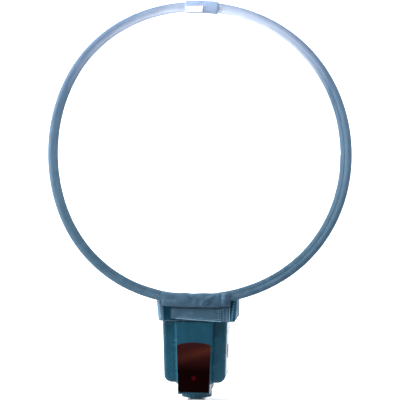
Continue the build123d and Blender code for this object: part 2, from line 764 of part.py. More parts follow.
def hoop(minor):
    return Pos(SOFT_X, (DIFFUSER_FRONT + DIFFUSER_BACK) / 2, RIM_Z) * Rot(90, 0, 0) * Torus(WIRE_TRACK, minor)


def hoop_wire():
    return hoop(WIRE_R)


def hoop_ferrule():
    sector = slab(11, (-50, -20), (RIM_Z + 100, RIM_Z + 200), SOFT_X)
    return (hoop(FERRULE_R) - hoop(WIRE_R)) & sector


def rim_binding():
    """The cloth tape folded over the hoop, with the diffuser sewn into its inner edge."""
    band = ring(RIM_R, RIM_R - RIM_BAND, (RIM_FRONT, RIM_BACK))
    band = fillet(band.edges(), 1.4)
    groove = ring(RIM_R - RIM_BAND + TUCK, RIM_R - RIM_BAND - 5, (DIFFUSER_FRONT, DIFFUSER_BACK))
    return band - groove - hoop(CHANNEL_R)


def diffuser_cloth():
    return rod_y(RIM_R - RIM_BAND + TUCK, SOFT_X, RIM_Z, (DIFFUSER_FRONT, DIFFUSER_BACK))


def side_points(inset):
    """Corners of the neck's front outline, as (x, z) from the neck's middle."""
    half_low = NECK_HALF - inset
    half_high = NECK_HALF + NECK_FLARE - inset
    low = NECK_BOTTOM + inset
    radius = CLOTH_RIM_R - inset
    high = RIM_Z - math.sqrt(radius ** 2 - half_high ** 2)
    return half_low, half_high, low, high, radius


def front_wire(inset):
    """Neck tab and circle that the back cloth follows at the rim."""
    half_low, half_high, low, high, radius = side_points(inset)
    y = RIM_BACK
    start = math.degrees(math.atan2(high - RIM_Z, half_high))
    angles = [start, 30, 60, 120, 150, 180 - start]
    corners = [on_rim(radius, angle) for angle in angles]
    left, right = (SOFT_X - half_low, y, low), (SOFT_X + half_low, y, low)
    edges = [Edge.make_line(left, right), Edge.make_line(right, (corners[0][0], y, corners[0][1]))]
    for first, second, a, b in zip(corners, corners[1:], angles, angles[1:]):
        middle = on_rim(radius, (a + b) / 2)
        points = [(x, y, z) for x, z in (first, middle, second)]
        edges.append(Edge.make_three_point_arc(*points))
    edges.append(Edge.make_line((corners[-1][0], y, corners[-1][1]), left))
    return Wire(edges)


def rear_wire(inset):
    """The flat back of the softbox, a tall rounded rectangle."""
    half, low, high, y = NECK_HALF - inset, NECK_BOTTOM + inset, BOX_TOP - inset, BOX_BACK - inset
    radius = BOX_CORNER
    turn = radius * (1 - math.sqrt(0.5))
    knee = high - radius
    left, right = SOFT_X - half, SOFT_X + half
    places = [(left, low), (right, low), (right, NECK_SHOULDER), (right, knee), (right - radius, high)]
    places += [(left + radius, high), (left, knee), (left, NECK_SHOULDER)]
    points = [(x, y, z) for x, z in places]
    edges = []
    for index, start in enumerate(points):
        end = points[(index + 1) % len(points)]
        if index in (3, 5):
            side = 1 if index == 3 else -1
            bend = (SOFT_X + side * (half - turn), y, high - turn)
            edges.append(Edge.make_three_point_arc(start, bend, end))
        else:
            edges.append(Edge.make_line(start, end))
    return Wire(edges)


def pouch(inset):
    """Everything inside the back cloth, or inside a layer of it."""
    return Solid.make_loft([front_wire(inset), rear_wire(inset)], ruled=True)


def back_cloth():
    shell = pouch(0) - pouch(CLOTH)
    half = NECK_HALF - CLOTH
    return shell - slab(half, (RIM_BACK, BOX_BACK - CLOTH), (NECK_BOTTOM - 1, NECK_BOTTOM + 3), SOFT_X)


def silver_lining():
    lining = pouch(CLOTH + 0.3) - pouch(CLOTH + 0.9)
    return lining - slab(100, (-60, 60), (0, NECK_SHOULDER + 8), SOFT_X)


def neck_front_panel():
    return slab(NECK_HALF - CLOTH - 0.4, FRONT_PANEL, (NECK_BOTTOM + 0.2, NECK_SHOULDER + 2), SOFT_X)


def cinch_strap():
    xs = (SOFT_X + STRAP_LEFT, SOFT_X + STRAP_RIGHT)
    strap = block(xs, (STRAP_FRONT, FRONT_PANEL[0]), (STRAP_LOW, STRAP_HIGH))
    return fillet(strap.faces().sort_by(Axis.Y)[0].edges(), 0.5)


def tail_span():
    return SOFT_X + STRAP_RIGHT + 0.2, SOFT_X + TAIL_RIGHT


def strap_tail():
    return block(tail_span(), (STRAP_FRONT - 0.5, STRAP_FRONT + 0.6), (STRAP_LOW, STRAP_HIGH))


def hook_patch():
    low, high = tail_span()
    return block((low + 1, high - 1), (STRAP_FRONT + 0.6, STRAP_FRONT + 1.1), (STRAP_LOW + 1, STRAP_HIGH - 1))


def loop_patch():
    low, high = tail_span()
    return block((low + 0.5, high - 0.5), (STRAP_FRONT + 1.2, FRONT_PANEL[0]), (STRAP_LOW + 1, STRAP_HIGH - 1))


def rim_fold():
    """The front panel's cloth, carried up and wrapped round the lowest part of the rim."""
    xs = (SOFT_X + FOLD_LEFT, SOFT_X + FOLD_RIGHT)
    wrap = block(xs, (RIM_FRONT - 1.8, FRONT_PANEL[0] - 0.1), (FOLD_LOW, FOLD_TOP))
    wrap = fillet(wrap.edges().filter_by(Axis.X).sort_by(Axis.Y)[:2], 2.2)
    clear = 0.25
    wrap -= ring(RIM_R + clear, RIM_R - RIM_BAND - clear, (RIM_FRONT - clear, RIM_BACK + clear))
    wrap -= rod_y(RIM_R - RIM_BAND, SOFT_X, RIM_Z, (DIFFUSER_FRONT - clear, DIFFUSER_BACK + clear))
    return wrap - ring(CLOTH_RIM_R + 0.3, CLOTH_RIM_R - 12, (RIM_BACK, 0)) - cloth_edge()


def cloth_edge():
    """Room for the side edges of the back cloth beside the fold and the gussets."""
    return Part() + pouch(0) - slab(NECK_HALF - CLOTH - 0.4, (-60, 60), (0, 400), SOFT_X)


def rim_join_tab():
    """A short length of tape that closes the binding at the top of the rim."""
    band = ring(RIM_R + 1.2, RIM_R - RIM_BAND, (RIM_FRONT - 0.9, RIM_BACK))
    band -= ring(RIM_R + 0.1, RIM_R - RIM_BAND - 1, (RIM_FRONT - 0.1, RIM_BACK + 1))
    return band & block((SOFT_X - 14.2, SOFT_X + 22.6), (-60, 0), (RIM_Z + 100, RIM_Z + 200))


# ---------------------------------------------------------------- all pieces

CASE = body_shell()
HEAD = head_shell()

PIECES = {
    "shoe_plate": shoe_plate(),
    "shoe_stem": shoe_stem(),
    "lock_ring": lock_ring(),
    "lock_pin": lock_pin(),
    "contact_pins": contact_pins(),
    "base_block": base_block(),
    "body_front_shell": body_front_shell(CASE),
    "body_rear_shell": body_rear_shell(CASE),
    "case_screws": case_screws(),
    "red_window": red_window(),
    "sensor_board": sensor_board(),
    "assist_lamp": assist_lamp(),
    "light_sensor": light_sensor(),
    "main_board": main_board(),
    "power_board": power_board(),
    "main_capacitor": main_capacitor(),
    "aa_cells": aa_cells(),
    "cell_contacts": cell_contacts(),
    "cell_door": cell_door(),
    "cell_door_pin": cell_door_pin(),
    "port_cover": port_cover(),
    "sync_socket": sync_socket(),
    "rear_panel": rear_panel(),
    "display_panel": display_panel(),
    "display_window": display_window(),
    "power_switch": power_switch(),
    "mode_button": push_button(-BUTTON_X),
    "zoom_button": push_button(0),
    "pilot_button": push_button(BUTTON_X),
    "select_dial": select_dial(),
    "set_button": set_button(),
    "swivel_yoke": swivel_yoke(),
    "swivel_retainer": swivel_retainer(),
    "tilt_axle": tilt_axle(),
    "tilt_release_button": tilt_release_button(),
    "head_front_shell": head_front_shell(HEAD),
    "head_rear_shell": head_rear_shell(HEAD),
    "head_screws": head_screws(),
    "fresnel_lens": fresnel_lens(),
    "reflector": reflector(),
    "flash_tube": flash_tube(),
    "zoom_carriage": zoom_carriage(),
    "lead_screw": lead_screw(),
    "guide_rod": guide_rod(),
    "zoom_motor": zoom_motor(),
    "wide_panel": wide_panel(),
    "bounce_card": bounce_card(),
    "hoop_wire": hoop_wire(),
    "hoop_ferrule": hoop_ferrule(),
    "rim_binding": rim_binding(),
    "diffuser_cloth": diffuser_cloth(),
    "back_cloth": back_cloth(),
    "silver_lining": silver_lining(),
    "neck_front_panel": neck_front_panel(),
    "cinch_strap": cinch_strap(),
    "strap_tail": strap_tail(),
    "hook_patch": hook_patch(),
    "loop_patch": loop_patch(),
    "rim_fold": rim_fold(),
    "rim_join_tab": rim_join_tab(),
}

os.makedirs("parts", exist_ok=True)
for name, piece in PIECES.items():
    export_step(piece, f"parts/{name}.step")
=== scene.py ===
"""Looks for a shoe-mount flash carrying a round pop-up softbox. Metres, in the frame of the CAD model:
+Z up, -Y the front, the origin under the shoe foot."""
from math import asin, copysign, cos, dist, pi, radians, sin, tan

import bpy
from mathutils import Matrix, Vector, noise


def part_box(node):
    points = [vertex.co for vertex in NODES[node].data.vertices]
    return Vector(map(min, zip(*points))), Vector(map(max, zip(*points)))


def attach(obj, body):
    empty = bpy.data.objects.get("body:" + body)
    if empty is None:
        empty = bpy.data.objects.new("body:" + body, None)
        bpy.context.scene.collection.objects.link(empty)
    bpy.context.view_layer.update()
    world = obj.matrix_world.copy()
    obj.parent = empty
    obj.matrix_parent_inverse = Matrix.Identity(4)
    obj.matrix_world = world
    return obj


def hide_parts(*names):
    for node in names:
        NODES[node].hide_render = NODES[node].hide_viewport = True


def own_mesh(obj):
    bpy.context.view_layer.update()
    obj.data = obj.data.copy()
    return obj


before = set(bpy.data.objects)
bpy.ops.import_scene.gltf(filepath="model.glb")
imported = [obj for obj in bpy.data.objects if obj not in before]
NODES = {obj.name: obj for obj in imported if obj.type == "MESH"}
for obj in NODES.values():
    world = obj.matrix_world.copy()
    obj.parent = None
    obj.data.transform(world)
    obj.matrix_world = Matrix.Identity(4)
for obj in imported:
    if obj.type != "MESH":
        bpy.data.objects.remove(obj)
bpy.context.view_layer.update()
MM = 0.001

# ---- places, from the frame

RIM_LOW, RIM_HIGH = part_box("rim_binding")
RIM = (RIM_LOW + RIM_HIGH) / 2
RIM_R = (RIM_HIGH.x - RIM_LOW.x) / 2
BAND = 11.2 * MM
CLOTH_LOW, CLOTH_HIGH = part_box("back_cloth")
STRAP_LOW, STRAP_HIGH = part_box("cinch_strap")
TAIL_LOW, TAIL_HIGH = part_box("strap_tail")
FOLD_LOW, FOLD_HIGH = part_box("rim_fold")
PANEL_LOW, PANEL_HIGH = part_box("neck_front_panel")
NECK_HALF = 39.8 * MM
NECK_FLARE = 3 * MM
BOX_BACK = CLOTH_HIGH.y
BOX_TOP = 255 * MM
NECK_BOTTOM = CLOTH_LOW.z
NECK_SHOULDER = 117 * MM
BOX_CORNER = 20 * MM
NECK_SHARE = 0.10
BACK_STRAIGHT = BOX_TOP - BOX_CORNER - NECK_BOTTOM
BACK_ARC = pi / 2 * BOX_CORNER
BACK_HALF = BACK_STRAIGHT + BACK_ARC + NECK_HALF - BOX_CORNER
NECK_Z = 107 * MM
STRAP_START = 28.6 * MM

TAPE = ("softbox", "binding_cloth")
STRAP = ("softbox", "strap_cloth")
NECK = ("softbox", "neck_cloth")

# ---- flat sizes of the cloth

JOIN_LEFT, JOIN_RIGHT = -14.2 * MM, 22.6 * MM
TAG_LEFT, TAG_RIGHT = -13.0 * MM, 5.8 * MM
HEM_AROUND, HEM_HIGH = 0.212, 10.5 * MM


def smooth(t):
    """0 below 0, 1 above 1, eased in between."""
    t = min(1.0, max(0.0, t))
    return t * t * (3 - 2 * t)


def mix(a, b, t):
    return a + (b - a) * t


def bump(x, middle, width):
    """A round bump of height 1, gone at one width from its middle."""
    d = abs(x - middle) / width
    return 0.0 if d >= 1 else (1 - d * d) ** 2


def rough(x, y=0.0, z=0.0):
    """Smooth noise from about -1 to 1, the same each run."""
    return noise.noise(Vector((x, y, z)))


# ---- materials


def srgb(r, g, b):
    """Linear colour of an 8-bit screen colour."""
    channels = [c / 255 for c in (r, g, b)]
    return tuple(c / 12.92 if c <= 0.04045 else ((c + 0.055) / 1.055) ** 2.4 for c in channels) + (1.0,)


class Look:
    """A material being built: a Principled shader and the nodes that feed it."""

    def __init__(self, name, colour, roughness, metallic=0.0, **sockets):
        self.material = bpy.data.materials.new(name)
        self.material.use_nodes = True
        self.tree = self.material.node_tree
        self.shader = self.tree.nodes["Principled BSDF"]
        self.colour = srgb(*colour)
        self.set("Base Color", self.colour)
        self.set("Roughness", roughness)
        self.set("Metallic", metallic)
        for socket, value in sockets.items():
            self.set(socket.replace("_", " "), value)
        self.place = self.node("ShaderNodeTexCoord").outputs["Object"]

    def set(self, socket, value):
        self.shader.inputs[socket].default_value = value

    def node(self, kind, **settings):
        made = self.tree.nodes.new(kind)
        for key, value in settings.items():
            setattr(made, key, value)
        return made

    def link(self, source, target):
        self.tree.links.new(source, target)

    def math(self, operation, a, b=0.0):
        made = self.node("ShaderNodeMath", operation=operation)
        for socket, value in zip(made.inputs, (a, b)):
            if isinstance(value, (int, float)):
                socket.default_value = value
            else:
                self.link(value, socket)
        return made.outputs[0]

    def noise(self, size, detail=3.0, stretch=(1, 1, 1)):
        """Noise whose grains are about size metres across."""
        place = self.node("ShaderNodeMapping")
        place.inputs["Scale"].default_value = [s / size for s in stretch]
        self.link(self.place, place.inputs["Vector"])
        texture = self.node("ShaderNodeTexNoise")
        texture.inputs["Scale"].default_value = 1.0
        texture.inputs["Detail"].default_value = detail
        self.link(place.outputs[0], texture.inputs["Vector"])
        return texture.outputs["Fac"]

    def raise_by(self, height, depth, strength=1.0):
        """Adds a height, 0 to 1, that stands depth metres proud."""
        made = self.node("ShaderNodeBump")
        made.inputs["Strength"].default_value = strength
        made.inputs["Distance"].default_value = depth
        self.link(height, made.inputs["Height"])
        before = self.shader.inputs["Normal"]
        if before.is_linked:
            self.link(before.links[0].from_socket, made.inputs["Normal"])
        self.link(made.outputs[0], before)

    def tint(self, other, factor, low, high):
        """Mixes the base colour towards another where factor runs from low to high."""
        ramp = self.node("ShaderNodeMapRange")
        ramp.inputs["From Min"].default_value = low
        ramp.inputs["From Max"].default_value = high
        self.link(factor, ramp.inputs["Value"])
        mixer = self.node("ShaderNodeMix", data_type="RGBA")
        base = self.shader.inputs["Base Color"]
        if base.is_linked:
            self.link(base.links[0].from_socket, mixer.inputs[6])
        else:
            mixer.inputs[6].default_value = self.colour
        mixer.inputs[7].default_value = srgb(*other)
        self.link(ramp.outputs[0], mixer.inputs[0])
        self.link(mixer.outputs[2], base)

    def gloss_between(self, factor, low, high):
        """Roughness from low to high as factor runs from 0 to 1."""
        ramp = self.node("ShaderNodeMapRange")
        ramp.inputs["To Min"].default_value = low
        ramp.inputs["To Max"].default_value = high
        self.link(factor, ramp.inputs["Value"])
        self.link(ramp.outputs[0], self.shader.inputs["Roughness"])

    def axis(self, index):
        split = self.node("ShaderNodeSeparateXYZ")
        self.link(self.place, split.inputs[0])
        return split.outputs[index]

    def weave(self, thread, depth=0.12 * MM):
        """A plain weave with threads that far apart, along X and Z."""
        waves = []
        for index in (0, 2):
            turned = self.math("MULTIPLY", self.axis(index), pi / thread)
            waves.append(self.math("SINE", turned))
        checks = self.math("MULTIPLY", waves[0], waves[1])
        height = self.math("MULTIPLY", self.math("ADD", checks, 1.0), 0.5)
        self.raise_by(height, depth, 0.8)
        return height


def cloth(name, colour, deep, pale, thread=0.5 * MM, sheen=0.12, patch=14 * MM):
    """Woven cloth: threads, a slight unevenness of the dye, painted shade between the threads, and a soft
    sheen.
    """
    look = Look(name, colour, 0.82, Sheen_Weight=sheen, Sheen_Roughness=0.4, Specular_IOR_Level=0.12)
    look.tint(deep, look.noise(patch, 4.0), 0.42, 0.75)
    look.tint(pale, look.noise(patch * 0.45, 5.0, (1, 1, 1.6)), 0.56, 0.9)
    threads = look.weave(thread)
    # painted shade: the low parts of the weave are darkened
    look.tint(deep, threads, 1.6, -1.1)
    look.gloss_between(look.noise(6 * MM, 2.0), 0.72, 0.92)
    look.raise_by(look.noise(5 * MM, 3.0), 0.35 * MM, 0.5)
    return look


def moulded(name, colour, dark, light, grain=0.35 * MM, low=0.38, high=0.55, shine=0.2, relief=0.05 * MM):
    """Moulded plastic: a fine spark-eroded grain, slight handling marks, a faint unevenness."""
    look = Look(name, colour, 0.45, Specular_IOR_Level=shine)
    look.tint(dark, look.noise(22 * MM, 3.0), 0.45, 0.8)
    look.tint(light, look.noise(1.1 * MM, 2.0), 0.6, 1.4)
    look.gloss_between(look.noise(9 * MM, 4.0), low, high)
    look.raise_by(look.noise(grain, 1.0), relief, 0.55)
    return look


def metal(name, colour, roughness, scratch=(1, 1, 12)):
    """Turned or drawn metal with fine lines along one axis."""
    look = Look(name, colour, roughness, 1.0)
    look.gloss_between(look.noise(0.6 * MM, 2.0, scratch), roughness * 0.7, roughness * 1.5)
    look.raise_by(look.noise(0.4 * MM, 1.0, scratch), 0.02 * MM, 0.4)
    return look


def rubbery(name, colour, pale):
    """Matt rubber with paler rubbed patches."""
    look = Look(name, colour, 0.7, Specular_IOR_Level=0.3)
    look.tint(pale, look.noise(3 * MM, 4.0), 0.5, 0.9)
    look.gloss_between(look.noise(2 * MM, 3.0), 0.6, 0.8)
    look.raise_by(look.noise(0.3 * MM, 1.0), 0.04 * MM, 0.5)
    return look


LOOKS = {
    "case": moulded("case_plastic", (13, 58, 74), (4, 45, 61), (22, 72, 90), low=0.2, high=0.32, shine=0.14,
                    relief=0.008 * MM),
    "nose": moulded("foot_block_plastic", (10, 40, 56), (6, 30, 44), (30, 62, 80)),
    "controls": moulded("control_plastic", (26, 46, 58), (18, 34, 44), (44, 66, 78), 0.25 * MM),
    "inner": moulded("inner_plastic", (52, 58, 62), (38, 42, 46), (80, 86, 90), 0.3 * MM),
    "white": moulded("white_plastic", (232, 235, 238), (214, 218, 224), (246, 247, 248)),
    "keys": rubbery("key_rubber", (48, 62, 72), (76, 92, 104)),
    "flap": rubbery("flap_rubber", (26, 36, 44), (48, 60, 70)),
    "steel": metal("steel", (176, 180, 184), 0.28),
    "dark_steel": metal("dark_steel", (96, 102, 108), 0.34),
    "brass": metal("gilt_contact", (214, 178, 104), 0.22),
    "mirror": metal("bright_aluminium", (232, 234, 236), 0.12, (1, 6, 1)),
    "board": moulded("board_resin", (24, 84, 56), (14, 60, 40), (66, 130, 92), 0.8 * MM, 0.25, 0.4),
    "sleeve": moulded("can_sleeve", (28, 32, 40), (18, 20, 26), (60, 66, 78), 0.5 * MM, 0.25, 0.4),
    "silver": metal("silver_cloth", (206, 209, 214), 0.34, (1, 1, 1)),
    "neck": cloth("neck_cloth", (60, 85, 103), (40, 66, 85), (92, 113, 132)),
    # painted light: the join at the top of the hoop is a paler copy of the tape, as the top is lit
    "join": cloth("join_tape_painted_top_light", (154, 171, 198), (120, 138, 166), (186, 199, 220), 0.55 * MM),
    # painted light: a paler copy of the neck cloth for the left gusset, which the light falls on
    "edge": cloth("gusset_painted_light_cloth", (108, 134, 154), (78, 106, 128), (140, 160, 178)),
    # painted shade: a dark copy of the neck cloth for pieces in the hollows beside and behind the strap
    "shade": cloth("neck_painted_shade_cloth", (12, 70, 90), (8, 56, 76), (26, 84, 104), sheen=0.0),
    "outer": cloth("outer_cloth", (54, 76, 92), (47, 68, 84), (64, 87, 104), 0.6 * MM),
    "strap": cloth("strap_tape", (70, 96, 114), (46, 74, 92), (104, 128, 144), 0.9 * MM),
    "pale_strap": cloth("pale_strap_edge", (118, 148, 168), (86, 118, 138), (150, 176, 192), 0.9 * MM),
    "hook": cloth("hook_pile", (44, 68, 86), (30, 50, 66), (80, 104, 122), 0.7 * MM),
    "tag": cloth("tag_satin", (240, 242, 246), (222, 227, 236), (250, 250, 252), 0.25 * MM),
    "thread": cloth("thread", (54, 84, 104), (40, 66, 84), (104, 132, 152), 0.2 * MM),
    "pale_thread": cloth("pale_thread", (120, 148, 168), (92, 120, 142), (160, 184, 200), 0.2 * MM),
}


def binding_with_painted_top_light():
    """The rim's tape: slate blue, with painted light that makes it paler towards the top of the hoop and from
    its outer edge inwards.
    """
    look = cloth("binding_tape", (70, 94, 112), (48, 74, 92), (100, 122, 140), 0.55 * MM, patch=9 * MM)
    # painted light: the tape gets paler with height, where the top of the hoop is lit
    height = look.axis(2)
    look.tint((82, 106, 126), height, RIM.z - 0.75 * RIM_R, RIM.z + 0.05 * RIM_R)
    look.tint((86, 106, 132), height, RIM.z + 0.05 * RIM_R, RIM.z + 0.8 * RIM_R)
    inner = look.node("ShaderNodeVectorMath", operation="DISTANCE")
    look.link(look.place, inner.inputs[0])
    inner.inputs[1].default_value = (RIM.x, RIM.y, RIM.z)
    # painted light: paler from the outer edge inwards, with some noise, over the upper part of the hoop
    painted_light_inward = look.math("SUBTRACT", RIM_R - 1 * MM, inner.outputs["Value"])
    painted_light_inward = look.math("DIVIDE", painted_light_inward, BAND - 2.5 * MM)
    painted_light_inward = look.math("ADD", painted_light_inward, look.math("MULTIPLY", look.noise(14 * MM, 3.0), 0.3))
    high = look.math("SUBTRACT", height, RIM.z + 0.35 * RIM_R)
    high = look.math("SMOOTH_MIN", look.math("DIVIDE", high, 0.55 * RIM_R), 1.0)
    pale = look.math("MULTIPLY", painted_light_inward, high)
    look.tint((200, 210, 230), pale, 0.1, 1.2)
    return look


def diffuser_with_painted_glow():
    """The diffuser: a fine white weave, a little translucent, with a painted glow that keeps it white."""
    look = Look("diffuser_weave", (250, 251, 252), 0.9, Transmission_Weight=0.0, Subsurface_Weight=0.25)
    look.set("Subsurface Radius", (0.004, 0.004, 0.004))
    look.set("Sheen Weight", 0.2)
    look.tint((238, 242, 248), look.noise(40 * MM, 3.0), 0.5, 0.95)
    look.weave(0.45 * MM, depth=0.05 * MM)
    # painted glow: the diffuser emits light though nothing lights it from behind
    look.set("Emission Color", srgb(255, 255, 255))
    look.set("Emission Strength", 0.9)
    return look


PAINTED_REFLECTION_Z = 53 * MM
DARK_FROM, DARK_TO = 56 * MM, 36 * MM


def window_red():
    """Dark red plastic: near black below, with a painted brown reflection in a slanting band above and a
    painted red glow where the lamp's lens sits behind it.
    """
    look = Look("red_window", (38, 13, 13), 0.16, Specular_IOR_Level=0.01)
    # painted reflection: a browner slanting band in the upper part of the window
    slant = look.math("ADD", look.axis(2), look.math("MULTIPLY", look.axis(0), -0.35))
    band = look.math("ABSOLUTE", look.math("SUBTRACT", slant, PAINTED_REFLECTION_Z))
    look.tint((54, 23, 17), look.math("MULTIPLY", band, -1.0), -8 * MM, 0.0)
    look.tint((8, 0, 0), look.math("MULTIPLY", look.axis(2), -1.0), -DARK_FROM, -DARK_TO)
    # painted glow: a red spot on the window where the lamp's lens sits behind it
    low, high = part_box("assist_lamp")
    spot = look.node("ShaderNodeCombineXYZ")
    look.link(look.axis(0), spot.inputs[0])
    look.link(look.axis(2), spot.inputs[2])
    away = look.node("ShaderNodeVectorMath", operation="DISTANCE")
    look.link(spot.outputs[0], away.inputs[0])
    away.inputs[1].default_value = ((low.x + high.x) / 2, 0.0, (low.z + high.z) / 2)
    look.tint((52, 2, 10), look.math("MULTIPLY", away.outputs["Value"], -1.0), -3.0 * MM, -1.2 * MM)
    look.gloss_between(look.noise(7 * MM, 3.0), 0.1, 0.24)
    return look


def clear(name, colour, roughness, weight):
    """Clear plastic or glass."""
    look = Look(name, colour, roughness, Transmission_Weight=weight, IOR=1.49)
    look.gloss_between(look.noise(8 * MM, 3.0), roughness, roughness * 2.5)
    return look


def fresnel_ribs():
    """Clear lens plastic with the fine parallel ribs of a flash lens."""
    look = clear("lens_plastic", (236, 240, 242), 0.08, 0.85)
    waves = look.math("SINE", look.math("MULTIPLY", look.axis(1), 2 * pi / (1.2 * MM)))
    look.raise_by(waves, 0.25 * MM, 0.8)
    return look


LOOKS["binding"] = binding_with_painted_top_light()
LOOKS["diffuser"] = diffuser_with_painted_glow()
LOOKS["red"] = window_red()
LOOKS["clear"] = clear("clear_plastic", (240, 244, 246), 0.05, 0.9)
LOOKS["lens"] = fresnel_ribs()
LOOKS["lamp"] = Look("lamp_red", (200, 20, 34), 0.2, Emission_Color=srgb(160, 8, 24), Emission_Strength=0.6)
LOOKS["lamp"].gloss_between(LOOKS["lamp"].noise(2 * MM), 0.15, 0.3)
LOOKS["screen"] = moulded("screen_glass", (120, 136, 116), (104, 120, 102), (138, 152, 132),
                          low=0.15, high=0.25)
LOOKS["ink"] = moulded("screen_ink", (24, 34, 32), (18, 26, 24), (40, 52, 48), low=0.3, high=0.4)

# ---- pieces


def piece(name, points, faces, look, body, slot=None, smooth_faces=True):
    """A mesh object riding on a body."""
    mesh = bpy.data.meshes.new(name)
    mesh.from_pydata([tuple(p) for p in points], [], faces)
    mesh.validate()
    mesh.polygons.foreach_set("use_smooth", [smooth_faces] * len(mesh.polygons))
    mesh.materials.append(LOOKS[look].material)
    made = bpy.data.objects.new(name, mesh)
    bpy.context.scene.collection.objects.link(made)
    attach(made, body)
    return made


def grid(rows, loop_rows=False, loop_columns=False):
    """Points and faces of a sheet given as rows of points."""
    high, wide = len(rows), len(rows[0])
    points = [p for row in rows for p in row]
    faces = []
    for j in range(high if loop_rows else high - 1):
        for i in range(wide if loop_columns else wide - 1):
            a, b = j * wide + i, j * wide + (i + 1) % wide
            c, d = ((j + 1) % high) * wide + (i + 1) % wide, ((j + 1) % high) * wide + i
            faces.append((a, b, c, d))
    return points, faces


def sheet_over(steps, place):
    """Points and faces of a sheet whose points are place(u, v), each from 0 to 1."""
    wide, high = steps
    return grid([[place(i / wide, j / high) for i in range(wide + 1)] for j in range(high + 1)])


def thicken(made, thickness, offset=0.0):
    """Gives a sheet its thickness."""
    wall = made.modifiers.new("thickness", "SOLIDIFY")
    wall.thickness = thickness
    wall.offset = offset
    return made


def tube(path, radius, sides=8, closed=False):
    """Points and faces of a round tube along a path."""
    rows = []
    count = len(path)
    for index, here in enumerate(path):
        before = path[index - 1] if index or closed else path[0]
        after = path[(index + 1) % count] if index < count - 1 or closed else path[-1]
        along = (Vector(after) - Vector(before)).normalized()
        side = along.cross(Vector((0, 1, 0)))
        if side.length < 0.2:
            side = along.cross(Vector((0, 0, 1)))
        side.normalize()
        up = side.cross(along)
        turns = [2 * pi * k / sides for k in range(sides)]
        rows.append([Vector(here) + radius * (cos(a) * side + sin(a) * up) for a in turns])
    points, faces = grid(rows, loop_rows=closed, loop_columns=True)
    if not closed:
        faces.append(tuple(reversed(range(sides))))
        faces.append(tuple(range(len(points) - sides, len(points))))
    return points, faces


def stitches(name, path, look, body, slot, pitch=3.4 * MM, share=0.62, width=0.32 * MM, closed=False):
    """A row of thread stitches along a path, each a short rounded bar."""
    points, faces = [], []
    path = [Vector(p) for p in path]
    if closed:
        path.append(path[0])
    lengths = [0.0]
    for a, b in zip(path, path[1:]):
        lengths.append(lengths[-1] + (b - a).length)
    count = max(1, int(lengths[-1] / pitch))
    step = lengths[-1] / count

    def at(distance):
        index = 0
        while index < len(lengths) - 2 and lengths[index + 1] < distance:
            index += 1
        span = lengths[index + 1] - lengths[index] or 1.0
        return path[index].lerp(path[index + 1], (distance - lengths[index]) / span)

    for number in range(count):
        start = (number + 0.5 * (1 - share)) * step
        line = [at(start + step * share * k / 3) for k in range(4)]
        more, sides = tube(line, width, 6)
        base = len(points)
        points += more
        faces += [tuple(base + i for i in face) for face in sides]
    return piece(name, points, faces, look, body, slot)


# ---- rim


def rim_radius(angle):
    """The hoop isn't a perfect circle: it is pulled out low on the left and flat at the four quarters."""
    wander = 0.76 * cos(2 * angle) - 0.25 * sin(2 * angle)
    wander += 0.89 * cos(3 * angle) - 0.25 * sin(3 * angle)
    wander += -1.12 * cos(4 * angle) - 0.12 * sin(4 * angle)
    return RIM_R + wander * MM


def band_width(angle):
    """The tape's width, which varies with how it was sewn: widest low on the right."""
    wander = 0.6 * cos(angle) - 0.4 * sin(angle) + 0.4 * cos(2 * angle)
    wander += 0.25 * rough(angle * 6, 3)
    return BAND + (wander - 0.4) * MM


def on_rim(angle, inwards, y):
    """A point a distance inside the rim's outer edge."""
    radius = rim_radius(angle) - inwards
    return Vector((RIM.x + radius * cos(angle), y, RIM.z + radius * sin(angle)))


def pucker(angle, edge):
    """How far the tape stands proud where it is gathered round the hoop; edge is 0 outside, 1 inside."""
    along = angle * RIM_R / (11 * MM)
    gathers = rough(along, 4.0 + 2 * edge) * (0.35 + 0.65 * edge)
    slants = rough(along * 0.55 + 2.5 * edge, 9.0)
    return (0.34 * gathers + 0.30 * slants) * MM


def rim_tape():
    """Tape folded over the hoop: full round the wire on the outside, flat where its edges are sewn."""
    steps, sides = 900, 28
    rows = []
    for i in range(steps):
        angle = 2 * pi * i / steps
        width = band_width(angle)
        row = []
        for k in range(sides + 1):
            turn = mix(0.985, -0.985, k / sides) * pi
            c, s = cos(turn), sin(turn)
            inwards = width / 2 - copysign(abs(c) ** 0.75, c) * width / 2
            share = inwards / width
            half = mix(2.3 * MM, 1.25 * MM, smooth((share - 0.25) / 0.6))
            ridge = 0.25 * MM * bump(share, 0.62, 0.1)
            depth = copysign(abs(s) ** 0.8, s) * (half - ridge)
            depth += copysign(1, s) * pucker(angle, share) * abs(s)
            row.append(on_rim(angle, inwards, RIM.y - depth))
        rows.append(row)
    tape = thicken(piece("rim_tape", *grid(rows, True), "binding", *TAPE), 0.5 * MM)
    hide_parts("rim_binding")
    for name, y in (("rim_stitches", -1.75 * MM), ("rim_stitches_back", 1.75 * MM)):
        seam = [on_rim(2 * pi * i / 720, 0.72 * BAND, RIM.y + y) for i in range(720)]
        stitches(name, seam, "binding", *TAPE, closed=True)


